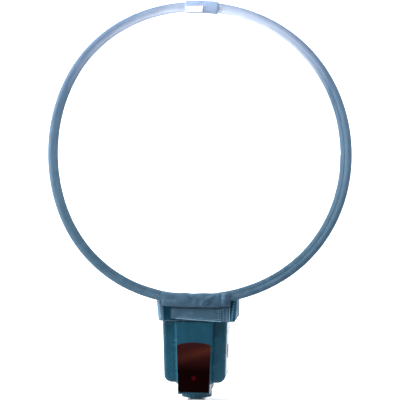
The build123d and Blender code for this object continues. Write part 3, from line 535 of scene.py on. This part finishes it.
def join_tab():
    """The overlap that closes the tape at the top of the hoop, with its blank white tag."""
    rows = []
    steps, around = 40, 18
    for i in range(steps + 1):
        x = mix(JOIN_LEFT, JOIN_RIGHT, i / steps)
        angle = pi / 2 - x / RIM_R
        ends = smooth(min(i, steps - i) / 2.5)
        row = []
        for k in range(around + 1):
            turn = pi * (k / around)
            inwards = mix(-1.3 * MM * ends, BAND + 0.4 * MM, (1 - cos(turn)) / 2)
            depth = (2.7 + 0.55 * ends) * MM * (0.55 + 0.45 * sin(turn))
            lumps = 0.25 * MM * rough(x / (5 * MM), k * 0.3)
            row.append(on_rim(angle, inwards, RIM.y - depth - lumps))
        back = [on_rim(angle, p, RIM.y + 2.9 * MM) for p in (0.8 * BAND, 0.4 * BAND, 0.08 * BAND)]
        outer = on_rim(angle, -1.3 * MM * ends, RIM.y + 1.2 * MM)
        rows.append(row[::-1] + [outer] + back[::-1])
    tab = thicken(piece("rim_join", *grid(rows), "join", *TAPE), 0.5 * MM)
    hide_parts("rim_join_tab")


def blank_tag():
    """A satin tag with nothing printed on it, folded into the join."""

    def place(u, v):
        x = mix(TAG_LEFT, TAG_RIGHT, u)
        inwards = mix(0.42, 0.98, v) * BAND
        lift = 0.35 * MM * sin(pi * v) + 0.12 * MM * rough(u * 7.2, v * 2.4, 5)
        return on_rim(pi / 2 - x / RIM_R, inwards, RIM.y - 4.0 * MM - lift)

    tag = thicken(piece("blank_tag", *sheet_over((24, 8), place), "tag", "softbox"), 0.25 * MM)


def diffuser():
    """White cloth stretched over the hoop: drawn tight, with short gathers at the sewn edge."""
    rings, spokes = 46, 360
    reach = BAND - 1.6 * MM
    rows = []
    for j in range(1, rings + 1):
        share = (j / rings) ** 0.8
        row = []
        for i in range(spokes):
            angle = 2 * pi * i / spokes
            edge = smooth((share - 0.78) / 0.22)
            gather = rough(angle * 17, share * 1.5) * edge * (1 - smooth((share - 0.985) / 0.015))
            slack = rough(cos(angle) * share * 2.2, sin(angle) * share * 2.2, 3) * (1 - edge)
            y = RIM.y - (0.5 * gather + 0.45 * slack) * MM - 1.2 * MM * (1 - share * share)
            rim = on_rim(angle, reach, y)
            row.append(Vector((mix(RIM.x, rim.x, share), y, mix(RIM.z, rim.z, share))))
        rows.append(row)
    points, faces = grid(rows, loop_columns=True)
    points.append(Vector((RIM.x, RIM.y - 1.6 * MM, RIM.z)))
    faces += [(len(points) - 1, (i + 1) % spokes, i) for i in range(spokes)]
    made = thicken(piece("diffuser", points, faces, "diffuser", "softbox", "diffuser_cloth"), 0.35 * MM)
    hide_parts("diffuser_cloth")


# ---- back cloth and lining


def rear_point(side, share):
    """A point of the flat back's outline: side is -1 or 1, share runs from the neck up to the top."""
    walk = share * BACK_HALF
    if walk <= BACK_STRAIGHT:
        return side * NECK_HALF, NECK_BOTTOM + walk
    if walk <= BACK_STRAIGHT + BACK_ARC:
        turn = (walk - BACK_STRAIGHT) / BOX_CORNER
        x = NECK_HALF - BOX_CORNER * (1 - cos(turn))
        return side * x, BOX_TOP - BOX_CORNER * (1 - sin(turn))
    return side * (NECK_HALF - BOX_CORNER - (walk - BACK_STRAIGHT - BACK_ARC)), BOX_TOP


def front_point(side, share):
    """A point of the front edge, up the neck and then round the rim."""
    reach = RIM_R - 4 * MM
    corner = asin((NECK_HALF + NECK_FLARE) / reach)
    if share <= NECK_SHARE:
        t = share / NECK_SHARE
        z = mix(NECK_BOTTOM, RIM.z - reach * cos(corner), t)
        return side * mix(NECK_HALF, NECK_HALF + NECK_FLARE, t), z
    angle = mix(corner, pi, (share - NECK_SHARE) / (1 - NECK_SHARE))
    radius = rim_radius(side * angle - pi / 2) - 4 * MM
    return side * radius * sin(angle), RIM.z - radius * cos(angle)


def back_rows(inset, slack):
    """Rows of points of the back cloth: from the rim to the flat back, then in to its spine."""
    columns, deep, flat = 110, 26, 8
    centre = Vector((0, 0, RIM.z - 40 * MM))
    ways = [(-1, i / columns) for i in range(columns)] + [(1, 1 - i / columns) for i in range(columns + 1)]
    rows = []
    for side, share in ways:
        front = front_point(side, share)
        rear = (side * NECK_HALF, front[1])
        if share > NECK_SHARE:
            start = (front_point(side, NECK_SHARE)[1] - NECK_BOTTOM) / BACK_HALF
            rear = rear_point(side, start + (1 - start) * (share - NECK_SHARE) / (1 - NECK_SHARE))
        row = []
        for k in range(deep + 1):
            t = k / deep
            free = sin(pi * t) * smooth((share - NECK_SHARE) / 0.18)
            x, z = mix(front[0], rear[0], t), mix(front[1], rear[1], t)
            y = mix(RIM.y + 2.2 * MM, BOX_BACK - inset, t)
            folds = rough(side * share * 19, t * 1.2, 2) * 3.6 * MM + rough(share * 46, t * 2, 7) * 1.2 * MM
            sag = free * (slack - folds)
            inward = (centre - Vector((x, 0, z))).normalized()
            row.append(Vector((RIM.x + x, y, z)) + inward * (sag + inset))
        spine_z = min(rear[1], BOX_TOP - NECK_HALF)
        for k in range(1, flat + 1):
            t = k / flat
            x, z = mix(rear[0], 0.0, t), mix(rear[1], spine_z, t)
            dent = 1.6 * MM * sin(pi / 2 * t) * smooth((z - NECK_SHOULDER) / (40 * MM))
            ripple = 0.7 * MM * rough(x / (14 * MM), z / (22 * MM), 1) * t
            row.append(Vector((RIM.x + x, BOX_BACK - inset - dent - abs(ripple), z)))
        rows.append(row)
    return rows


def back_layer(name, inset, look, slot, node, thickness):
    """One layer of the back, welded along its spine."""
    made = piece(name, *grid(back_rows(inset, 3.5 * MM)), look, "softbox", slot)
    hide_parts(node)
    made.modifiers.new("spine", "WELD").merge_threshold = 0.05 * MM
    thicken(made, thickness, -1.0)


def back_cloth():
    """The outer cloth and its silver lining, from the rim to a flat back, open at the neck below."""
    back_layer("back_cover", 0.0, "outer", "outer_cloth", "back_cloth", 0.5 * MM)
    back_layer("lining", 1.6 * MM, "silver", "silver_cloth", "silver_lining", 0.2 * MM)
    steps = 160
    edge = [rear_point(-1, i / steps) for i in range(steps + 1)]
    edge += [rear_point(1, 1 - i / steps) for i in range(steps + 1)]
    piping = [Vector((RIM.x + x, BOX_BACK + 0.1 * MM, z)) for x, z in edge]
    piece("back_piping", *tube(piping, 0.9 * MM), "strap", *STRAP)
    inner = [Vector((RIM.x + x * 0.93, BOX_BACK + 0.15 * MM, mix(z, 172 * MM, 0.03))) for x, z in edge]
    stitches("back_stitches", inner, "pale_thread", *STRAP)


def neck_hem():
    """The turned-up hem round the mouth of the neck: two sides and the back."""
    half, front, back = NECK_HALF + 0.35 * MM, RIM.y + 3 * MM, BOX_BACK + 0.35 * MM
    corner = 3 * MM
    plan = [(-half, front), (-half, back - corner), (-half + corner, back)]
    plan += [(half - corner, back), (half, back - corner), (half, front)]
    path = []
    for a, b in zip(plan, plan[1:]):
        steps = max(2, int(dist(a, b) / (2.5 * MM)))
        path += [(mix(a[0], b[0], i / steps), mix(a[1], b[1], i / steps)) for i in range(steps)]
    path.append(plan[-1])
    rows = []
    for j in range(9):
        z = NECK_BOTTOM + 0.3 * MM + HEM_HIGH * j / 8
        flare = NECK_FLARE * (z - NECK_BOTTOM) / (NECK_SHOULDER - NECK_BOTTOM)
        row = []
        for x, y in path:
            forward = 1 - smooth((y - front) / (BOX_BACK - front))
            swell = 0.35 * MM * sin(pi * j / 8) + 0.3 * MM * rough(x * 150 + y * 170, j * 0.2)
            out = Vector((x, 0.6 * (y - (front + back) / 2))).normalized() * swell
            x += copysign(flare * forward, x) * (1 if abs(x) > half - corner else 0)
            row.append(Vector((RIM.x + x + out.x, y + out.y, z)))
        rows.append(row)
    hem = thicken(piece("neck_hem", *grid(rows), "strap", *STRAP), 0.7 * MM, 0.0)
    line = [row + Vector((0, 0, -0.6 * MM)) for row in rows[-1]]
    out = [p + (p - Vector((RIM.x, 0, p.z))).normalized() * 0.5 * MM for p in line]
    stitches("neck_hem_stitches", out, "pale_thread", *STRAP, pitch=3 * MM)


# ---- front of the neck

def fold_height(x):
    """Upper edge of the cloth wrapped over the rim: it dips in the middle."""
    across = (x - FOLD_LOW.x) / (FOLD_HIGH.x - FOLD_LOW.x)
    dip = sin(pi * across)
    peak = 0.5 * MM * bump(across, 0.36, 0.1) + 0.5 * MM * bump(across, 0.62, 0.14)
    return FOLD_HIGH.z - 1.4 * MM * dip + peak


def fold_creases(u, v):
    """Creases of the wrapped cloth: u runs from left to right, v from the lower edge to the upper one."""
    lift = 1.4 * MM * bump(v, 0.5, 0.6) * (0.3 + 0.7 * smooth(u / 0.14)) * (0.3 + 0.7 * smooth((1 - u) / 0.1))
    slant = v - (0.96 - 2.6 * (u - 0.36))
    lift += 1.7 * MM * bump(slant - 0.16, 0, 0.24) * bump(u, 0.46, 0.18)
    lift -= 1.5 * MM * bump(slant + 0.12, 0, 0.18) * bump(u, 0.42, 0.17)
    right = v - (0.02 + 3.0 * (u - 0.60))
    lift -= 1.8 * MM * bump(right, 0, 0.22) * bump(u, 0.68, 0.15)
    lift += 1.5 * MM * bump(right - 0.3, 0, 0.24) * bump(u, 0.66, 0.14)
    lift += 1.6 * MM * bump(u, 0.60, 0.045) * bump(v, 0.10, 0.22)
    lift -= 1.2 * MM * bump(v - 0.66 + 0.3 * u, 0, 0.16) * bump(u, 0.16, 0.2)
    lift += 0.9 * MM * bump(v - 0.34 + 0.2 * u, 0, 0.2) * bump(u, 0.18, 0.2)
    lift += 1.0 * MM * bump(u, 0.925, 0.05) * (0.4 + 0.6 * v)
    lift -= 0.8 * MM * (bump(u, 0.865, 0.03) + bump(u, 0.98, 0.02)) * (0.3 + 0.7 * v)
    lift += 0.5 * MM * rough(u * 9, v * 3, 4) + 0.25 * MM * rough(u * 26, v * 9, 8)
    return lift


def fold_over_rim():
    """The front panel's cloth, brought up over the lowest part of the rim and sewn behind it."""
    low, high = FOLD_LOW, FOLD_HIGH + Vector((2.6 * MM, 0, 0))
    steps, around = 120, 40
    middle_y = (low.y + high.y) / 2
    rows = []
    for i in range(steps + 1):
        u = i / steps
        x = mix(low.x, high.x, u)
        top = fold_height(x)
        sag = 0.9 * MM * sin(pi * (0.15 + 0.85 * u))
        bottom = low.z + 1.2 * MM - sag
        round_in = 0.7 * MM * (1 - smooth(min(u, 1 - u) / 0.03))
        row = []
        for k in range(around + 1):
            turn = mix(-0.70, 1.22, k / around) * pi
            c, s = cos(turn), sin(turn)
            up = copysign(abs(s) ** 0.55, s)
            out = copysign(abs(c) ** 0.55, c)
            v = (up + 1) / 2
            z = mix(bottom, top, v)
            half = (high.y - low.y) / 2 - 0.7 * MM - round_in
            y = middle_y - out * half
            if c > 0:
                y -= fold_creases(u, v) * smooth(c * 2.5)
                y += 0.5 * MM * (1 - smooth(v / 0.2)) * c
            row.append(Vector((x, y, z)))
        rows.append(row)
    fold = thicken(piece("rim_wrap", *grid(rows), "neck", *NECK), 0.7 * MM)
    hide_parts("rim_fold")
    ends = (low.x + 1.5 * MM, high.x - 1.5 * MM)
    line = [Vector((mix(*ends, i / 60), high.y + 0.02 * MM, NECK_Z + 9 * MM)) for i in range(61)]
    stitches("rim_wrap_stitches", line, "pale_thread", *NECK, pitch=3 * MM)


def gusset(side):
    """The turned edge of a side wall: from the mouth of the neck up to the rim, where it fans out."""

    def place(t, v):
        z = mix(NECK_BOTTOM + 0.2 * MM, FOLD_HIGH.z - 0.5 * MM, v)
        flare = NECK_FLARE * min(1.0, (z - NECK_BOTTOM) / (NECK_SHOULDER - NECK_BOTTOM))
        fan = 2.6 * MM * smooth((v - 0.62) / 0.38)
        outer = NECK_HALF + flare + 0.4 * MM + 0.3 * MM * rough(v * 5, side)
        inner = outer - 4.6 * MM - (2.2 * MM if side < 0 else 0.0) * v - fan
        curl = pi * t
        x = mix(outer, inner, (1 - cos(curl)) / 2)
        y = RIM.y + 2.6 * MM - 2.1 * MM * sin(curl) - 0.5 * MM * rough(v * 7, t * 2, side)
        y += 2.4 * MM * smooth((t - 0.5) / 0.5)
        return Vector((RIM.x + side * x, y, z))

    # painted light and shade: the left gusset gets the paler lit cloth, the right one the dark painted-shade
    # cloth
    name, look = ("gusset_left", "edge") if side < 0 else ("gusset_right", "shade")
    edge = thicken(piece(name, *sheet_over((14, 50), place), look, *NECK), 0.7 * MM)
    line = []
    for j in range(41):
        x = NECK_HALF + NECK_FLARE * j / 40 - 2.2 * MM
        line.append(Vector((RIM.x + side * x, RIM.y + 0.1 * MM, mix(90, 116, j / 40) * MM)))
    name += "_stitches"
    stitches(name, line, "pale_thread", *NECK, pitch=2.8 * MM, width=0.25 * MM)


def gather(pieces):
    """Gives each of the neck's cloth pieces its own copy of its mesh."""
    for soft in pieces:
        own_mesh(soft)


def neck_panel():
    """The cloth behind the strap, drawn back a little at its left edge."""
    low, high = PANEL_LOW, PANEL_HIGH

    def place(u, v):
        x, z = mix(low.x, high.x, u), mix(low.z, high.z, v)
        folds = 0.7 * MM * rough(u * 7, v * 3, 3) + 0.9 * MM * bump(u, 0.05, 0.06)
        return Vector((x, mix(low.y, high.y, 0.5) + 0.35 * MM * sin(5 * u) - 0.4 * folds, z))

    # painted shade: the panel gets the dark cloth that stands for the shade in the hollow behind the strap
    made = piece("neck_cloth_front", *sheet_over((70, 30), place), "shade", *NECK)
    thicken(made, 0.8 * MM)
    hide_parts("neck_front_panel")
    hem = [Vector((mix(low.x, high.x, i / 60), (low.y + high.y) / 2, low.z + 0.2 * MM)) for i in range(61)]
    lip = piece("neck_front_hem", *tube(hem, 0.85 * MM), "strap", *NECK)
    gather((made, lip))


def strap_low(x):
    """The strap's lower edge slopes down to the right."""
    across = (x - STRAP_LOW.x) / (TAIL_HIGH.x - STRAP_LOW.x)
    return STRAP_LOW.z + mix(3.3, 0.0, smooth(across * 0.9 + 0.05)) * MM


def strap_face(x, v, front):
    """A point on the strap's face: v from its lower edge to its upper one."""
    low = strap_low(x)
    across = (x - STRAP_LOW.x) / (STRAP_HIGH.x - STRAP_LOW.x)
    z = mix(low, STRAP_HIGH.z + 0.6 * MM, v)
    sag = 0.55 * MM * sin(pi * v) * (0.7 + 0.3 * sin(4 * across))
    sag -= 1.0 * MM * smooth((v - 0.74) / 0.2)
    left = 0.4 * MM * (1 - smooth((across - 0.10) / 0.10))
    wave = 0.22 * MM * rough(across * 6, v * 2, 6) + 0.12 * MM * rough(across * 24, v * 7, 3)
    return Vector((x, front - sag + left - wave, z))


def strap_seam(name, line, look, body, pitch=2.4 * MM):
    """A seam of finer stitches."""
    return stitches(name, line, look, body, "strap_cloth", pitch=pitch, width=0.24 * MM)


def strap():
    """The strap drawn round the front of the neck: folded tape with a rolled hem below and stitched edges.
    Its left end dives into the hollow beside the gusset."""
    low, high = Vector((RIM.x - STRAP_START, STRAP_LOW.y, STRAP_LOW.z)), STRAP_HIGH

    def place(u, v):
        dive = 1.7 * MM * (1 - smooth(u / 0.08)) ** 2
        return strap_face(mix(low.x, high.x, u), v, low.y + 0.5 * MM) + Vector((0, dive, 0))

    band = piece("cinch_band", *sheet_over((110, 36), place), "strap", *STRAP)
    thicken(band, 0.9 * MM)
    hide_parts("cinch_strap")
    parts = [band]

    def along(height, lift, start, end):
        xs = [mix(start, end, i / 80) for i in range(81)]
        return [strap_face(x, height, low.y + 0.5 * MM) - Vector((0, lift, 0)) for x in xs]

    hem = along(0.02, 0.25 * MM, low.x + 6 * MM, high.x)
    parts.append(piece("strap_hem", *tube(hem, 0.62 * MM), "pale_strap", *STRAP))
    for name, height, look in (("low", 0.13, "pale_thread"), ("high", 0.80, "thread")):
        line = along(height, 0.62 * MM, low.x + 7 * MM, high.x - MM)
        parts.append(strap_seam("strap_stitches_" + name, line, look, "softbox", 2.8 * MM))
    for name, x in (("strap_seam_a", high.x - 3.4 * MM), ("strap_seam_b", high.x - 1.1 * MM)):
        heights = [mix(0.1, 0.85, j / 20) for j in range(21)]
        line = [strap_face(x, height, low.y + 0.5 * MM) - Vector((0, 0.62 * MM, 0)) for height in heights]
        parts.append(strap_seam(name, line, "pale_thread", "softbox"))
    gather(parts)


def tail():
    """The end of the strap, folded over for grip; hook pile behind it holds it to the loop patch."""
    low, high = TAIL_LOW, TAIL_HIGH
    middle = (low.y + high.y) / 2

    def place(u, v):
        x = mix(low.x, high.x, u)
        base = strap_low(x)
        z = mix(base, STRAP_HIGH.z - 0.2 * MM, v)
        swell = 0.35 * MM * sin(pi * v) + 0.5 * MM * bump(u, 0.72, 0.2)
        swell += 0.15 * MM * rough(u * 4, v * 4, 9)
        return Vector((x, middle - swell + 0.3 * MM, z))

    end = piece("strap_end", *sheet_over((30, 36), place), "strap", "strap_tail", "strap_cloth")
    thicken(end, 0.7 * MM)
    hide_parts("strap_tail")
    lip = [place(0.93, j / 30) - Vector((0, 0.35 * MM, 0)) for j in range(31)]
    fold = piece("strap_end_fold", *tube(lip, 0.6 * MM), "pale_strap", "strap_tail", "strap_cloth")
    seams = []
    for name, u in (("tail_seam_a", 0.18), ("tail_seam_b", 0.62)):
        line = [place(u, mix(0.05, 0.9, j / 20)) - Vector((0, 0.5 * MM, 0)) for j in range(21)]
        seams.append(strap_seam(name, line, "pale_thread", "strap_tail"))
    hook = patch("hook_pile", "hook_patch", "strap_tail", 0.25 * MM)
    loop = patch("loop_pile", "loop_patch", "softbox", 0.3 * MM)
    gather([end, fold, hook, loop] + seams)


def patch(name, node, body, tuft):
    """A sewn patch of hook or loop tape: a backing with a pile of small tufts on it."""
    low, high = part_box(node)
    columns, rows_high = 34, 44
    rows = []
    facing = -1 if body == "softbox" else 1
    back = high.y if facing < 0 else low.y
    depth = high.y - low.y - tuft
    for j in range(rows_high + 1):
        row = []
        for i in range(columns + 1):
            u, v = i / columns, j / rows_high
            edge = smooth(min(u, v, 1 - u, 1 - v) / 0.05)
            pile = depth * (0.3 + 0.7 * edge) + tuft * edge * (0.5 + 0.5 * ((i + j) % 2))
            row.append(Vector((mix(low.x, high.x, u), back + facing * pile, mix(low.z, high.z, v))))
        rows.append(row)
    base = [[Vector((p.x, back, p.z)) for p in row] for row in rows]
    points, faces = grid(rows)
    behind, more = grid(base)
    count = len(points)
    faces += [tuple(count + i for i in reversed(face)) for face in more]
    wide = columns + 1
    rim = list(range(wide)) + [wide * (j + 1) - 1 for j in range(1, rows_high + 1)]
    rim += list(reversed(range(wide * rows_high, wide * rows_high + columns)))
    rim += [wide * j for j in range(rows_high - 1, 0, -1)]
    faces += [(a, b, count + b, count + a) for a, b in zip(rim, rim[1:] + rim[:1])]
    made = piece(name, points + behind, faces, "hook", body, "hook_tape", smooth_faces=False)
    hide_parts(node)
    return made


rim_tape()
join_tab()
blank_tag()
diffuser()
back_cloth()
neck_hem()
fold_over_rim()
gusset(-1)
gusset(1)
neck_panel()
strap()
tail()

# ---- flash

FINISHES = {
    "case": ("body_front_shell", "body_rear_shell", "head_front_shell", "head_rear_shell", "cell_door",
             "swivel_yoke", "lock_ring", "tilt_release_button"),
    "nose": ("base_block", "shoe_stem"),
    "controls": ("rear_panel", "select_dial", "power_switch"),
    "keys": ("mode_button", "zoom_button", "pilot_button", "set_button"),
    "flap": ("port_cover",),
    "inner": ("zoom_carriage", "sync_socket", "swivel_retainer", "zoom_motor", "light_sensor"),
    "white": ("bounce_card",),
    "steel": ("shoe_plate", "lead_screw", "guide_rod", "tilt_axle", "cell_door_pin", "hoop_wire", "lock_pin"),
    "dark_steel": ("case_screws", "head_screws", "hoop_ferrule"),
    "brass": ("contact_pins", "cell_contacts"),
    "mirror": ("reflector", "aa_cells"),
    "board": ("sensor_board", "main_board", "power_board"),
    "sleeve": ("main_capacitor",),
    "lens": ("fresnel_lens",),
    "clear": ("wide_panel", "flash_tube", "display_window"),
    "screen": ("display_panel",),
    "red": ("red_window",),
    "lamp": ("assist_lamp",),
}

for look, names in FINISHES.items():
    for name in names:
        made = NODES[name]
        made.data.materials.clear()
        made.data.materials.append(LOOKS[look].material)


def raised_strokes(name, ys, strokes, look, body, slot, half=0.3 * MM):
    """Flat raised strokes on the rear face: each a rounded bar between two (x, z) points."""
    points, faces = [], []
    front, back = ys
    for start, end in strokes:
        a, b = Vector((start[0], 0, start[1])), Vector((end[0], 0, end[1]))
        along = (b - a).normalized() if (b - a).length > 0 else Vector((1, 0, 0))
        across = Vector((-along.z, 0, along.x))
        outline = []
        for centre, first in ((b, -90), (a, 90)):
            for turn in range(0, 181, 45):
                angle = radians(first + turn)
                outline.append(centre + half * (cos(angle) * along + sin(angle) * across))
        base, count = len(points), len(outline)
        points += [Vector((p.x, front, p.z)) for p in outline] + [Vector((p.x, back, p.z)) for p in outline]
        faces.append(tuple(base + i for i in range(count)))
        faces.append(tuple(base + count + i for i in reversed(range(count))))
        edges = [(base + i, base + (i + 1) % count) for i in range(count)]
        faces += [(a, a + count, b + count, b) for a, b in edges]
    return piece(name, points, faces, look, body, slot, smooth_faces=False)


def digit_strokes(lit, x, z, wide, high):
    """The lit bars of a seven-bar figure, by the letters a to g."""
    ends = {
        "a": ((0, 1), (1, 1)), "b": ((1, 1), (1, 0.5)), "c": ((1, 0.5), (1, 0)), "d": ((0, 0), (1, 0)),
        "e": ((0, 0.5), (0, 0)), "f": ((0, 1), (0, 0.5)), "g": ((0, 0.5), (1, 0.5)),
    }
    gap = 0.12
    strokes = []
    for bar in lit:
        (u1, v1), (u2, v2) = ends[bar]
        u1, u2 = u1 + gap * (u2 - u1), u2 - gap * (u2 - u1)
        v1, v2 = v1 + gap * (v2 - v1), v2 - gap * (v2 - v1)
        strokes.append(((x - u1 * wide, z + v1 * high), (x - u2 * wide, z + v2 * high)))
    return strokes


def display_figures():
    """Figures and a scale on the display, seen from behind the flash."""
    low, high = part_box("display_panel")
    strokes = []
    for lit, x in (("bc", 14), ("abgcd", 8), ("abcdef", 2)):
        strokes += digit_strokes(lit, x * MM, low.z + 7.5 * MM, 3.6 * MM, 7.5 * MM)
    for step in range(12):
        x = mix(low.x + 4 * MM, high.x - 4 * MM, step / 11)
        tall = 2.6 * MM if step % 3 == 0 else 1.5 * MM
        strokes.append(((x, low.z + 1.8 * MM), (x, low.z + 1.8 * MM + tall)))
    for length, up in ((9, 8), (6, 11), (9, 14)):
        z = low.z + up * MM
        strokes.append(((-8 * MM, z), (-(8 + length) * MM, z)))
    ys = (high.y, high.y + 0.12 * MM)
    raised_strokes("display_figures", ys, strokes, "ink", "flash_body", "display", 0.32 * MM)


def control_marks():
    """Plain marks beside the controls: bars, ticks by the dial, and a bar and a ring as end marks for the
    switch.
    """
    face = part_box("rear_panel")[1].y
    strokes = []
    for name, count in (("mode_button", 1), ("zoom_button", 2), ("pilot_button", 3)):
        left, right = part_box(name)
        middle = (left.x + right.x) / 2
        for number in range(count):
            x = middle + (number - (count - 1) / 2) * 2.2 * MM
            strokes.append(((x - 0.5 * MM, right.z + 1.7 * MM), (x + 0.5 * MM, right.z + 1.7 * MM)))
    dial_low, dial_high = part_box("select_dial")
    centre, reach = (dial_low + dial_high) / 2, (dial_high.x - dial_low.x) / 2 + 1.6 * MM
    for step in range(5):
        angle = radians(90 + (step - 2) * 36)
        inner, outer = [(centre.x + r * cos(angle), centre.z + r * sin(angle))
                        for r in (reach, reach + 1.0 * MM)]
        if outer[1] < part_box("mode_button")[0].z - 1.2 * MM:
            strokes.append((inner, outer))
    switch_low, switch_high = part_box("power_switch")
    z = switch_high.z + 1.8 * MM
    strokes.append(((switch_low.x + 1.5 * MM, z), (switch_low.x + 1.5 * MM, z + 1.6 * MM)))
    x = switch_high.x + 2.6 * MM
    circle = []
    for step in range(10):
        turn = step * pi / 5
        circle.append((x + 0.9 * MM * cos(turn), z + 0.8 * MM + 0.9 * MM * sin(turn)))
    strokes += list(zip(circle, circle[1:] + circle[:1]))
    ys = (face - 0.02 * MM, face + 0.1 * MM)
    raised_strokes("control_marks", ys, strokes, "white", "flash_body", "control_plastic", 0.22 * MM)


def screw_thread(node, pitch, name):
    """A helical ridge round a plain screw node."""
    low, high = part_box(node)
    middle, reach = (low + high) / 2, 0.97 * (high.x - low.x) / 2
    turns = (high.z - low.z - 2 * pitch) / pitch
    steps = int(turns * 20)
    path = []
    for i in range(steps + 1):
        angle = 2 * pi * turns * i / steps
        z = low.z + pitch + pitch * turns * i / steps
        path.append(Vector((middle.x + reach * cos(angle), middle.y + reach * sin(angle), z)))
    piece(name, *tube(path, 0.22 * MM, 6), "steel", "lead_screw", "axle_steel")


display_figures()
control_marks()
screw_thread("lead_screw", 3 * MM, "lead_screw_thread")

# ---- stage


FLOOR_DROP = 1.0 * MM
WORLD_LIGHT = 0.55
FRONT_LIGHT = 0.22
LAMPS = (
    ("top", (-0.2, -0.62, 1.6), (0.0, 0.0, 0.25), (1.0, 0.6), 38.0, (1.0, 1.0, 1.0)),
    ("left", (-1.6, -0.34, 0.45), (0.0, 0.0, 0.12), (0.5, 0.7), 60.0, (1.0, 1.0, 1.0)),
    ("right", (1.5, 0.5, 0.4), (0.0, 0.0, 0.08), (0.6, 0.9), 18.0, (0.84, 0.94, 1.0)),
)
CAMERA_TARGET = (0.0062, -0.036, 0.2176)
CAMERA_FAR = 1.364
CAMERA_YAW = 6.0
CAMERA_ROLL = 0.3
CAMERA_RISE = 0.030
CAMERA_LENS = 117.1
PAPER_GLOW = 0.85
GLOW_FROM = (-0.05, 0.12)
SWEEP_WIDE = 8.0
SWEEP_FRONT = -3.5
SWEEP_BACK = 1.6
SWEEP_R = 1.4
SWEEP_TOP = 4.5


def ranged(ramp, source, result):
    """Sets a map range node to run from one pair of values to another."""
    ramp.inputs["From Min"].default_value, ramp.inputs["From Max"].default_value = source
    ramp.inputs["To Min"].default_value, ramp.inputs["To Max"].default_value = result
    return ramp


def studio():
    """A white floor that sweeps up behind, soft light that is weaker from the front, and three lamps."""
    rows = []
    for u in range(41):
        if u < 16:
            y, z = mix(SWEEP_FRONT, SWEEP_BACK, u / 16), 0.0
        elif u < 30:
            turn = (u - 16) / 14 * pi / 2
            y, z = SWEEP_BACK + SWEEP_R * sin(turn), SWEEP_R * (1 - cos(turn))
        else:
            y, z = SWEEP_BACK + SWEEP_R, mix(SWEEP_R, SWEEP_TOP, (u - 30) / 10)
        rows.append([Vector((x, y, z - FLOOR_DROP)) for x in (-SWEEP_WIDE / 2, 0, SWEEP_WIDE / 2)])
    mesh = bpy.data.meshes.new("sweep")
    points, faces = grid(rows)
    mesh.from_pydata([tuple(p) for p in points], [], faces)
    mesh.polygons.foreach_set("use_smooth", [True] * len(mesh.polygons))
    look = Look("sweep_paper", (252, 252, 253), 0.9)
    look.tint((247, 248, 250), look.noise(0.6, 2.0), 0.4, 0.9)
    look.tint((176, 178, 181), look.math("MULTIPLY", look.axis(1), -1.0), -0.02, 0.30)
    look.raise_by(look.noise(2 * MM, 2.0), 0.05 * MM, 0.3)
    look.set("Emission Color", srgb(255, 255, 255))
    glow = ranged(look.node("ShaderNodeMapRange"), GLOW_FROM, (0.0, PAPER_GLOW))
    look.link(look.axis(1), glow.inputs["Value"])
    look.link(glow.outputs[0], look.shader.inputs["Emission Strength"])
    mesh.materials.append(look.material)
    sweep = bpy.data.objects.new("sweep", mesh)
    bpy.context.scene.collection.objects.link(sweep)
    world = bpy.data.worlds.new("studio")
    bpy.context.scene.world = world
    world.use_nodes = True
    sky, links = world.node_tree.nodes["Background"], world.node_tree.links
    sky.inputs["Color"].default_value = srgb(250, 252, 255)
    split = world.node_tree.nodes.new("ShaderNodeSeparateXYZ")
    links.new(world.node_tree.nodes.new("ShaderNodeTexCoord").outputs["Generated"], split.inputs[0])
    ramp = ranged(world.node_tree.nodes.new("ShaderNodeMapRange"), (-0.9, 0.2), (FRONT_LIGHT, WORLD_LIGHT))
    links.new(split.outputs[1], ramp.inputs["Value"])
    links.new(ramp.outputs[0], sky.inputs["Strength"])
    for name, place, target, size, power, colour in LAMPS:
        data = bpy.data.lights.new(name, "AREA")
        data.shape = "RECTANGLE"
        data.size, data.size_y = size
        data.energy = power
        data.color = colour
        lamp = bpy.data.objects.new(name, data)
        lamp.location = place
        lamp.rotation_euler = (Vector(target) - Vector(place)).to_track_quat("-Z", "Y").to_euler()
        bpy.context.scene.collection.objects.link(lamp)


def camera():
    """A straight view from the front, a little to the right, with the camera turned a third of a degree."""
    data = bpy.data.cameras.new("camera")
    data.sensor_width = 36.0
    data.lens = CAMERA_LENS
    data.clip_start, data.clip_end = 0.05, 20.0
    made = bpy.data.objects.new("camera", data)
    target = Vector(CAMERA_TARGET)
    aside = CAMERA_FAR * tan(radians(CAMERA_YAW))
    made.location = target + Vector((aside, -CAMERA_FAR, CAMERA_RISE))
    facing = (target - made.location).to_track_quat("-Z", "Y").to_matrix()
    turned = facing @ Matrix.Rotation(radians(CAMERA_ROLL), 3, "Z")
    made.rotation_euler = turned.to_euler()
    bpy.context.scene.collection.objects.link(made)
    bpy.context.scene.camera = made


studio()
camera()
bpy.context.scene.view_settings.view_transform = "Standard"
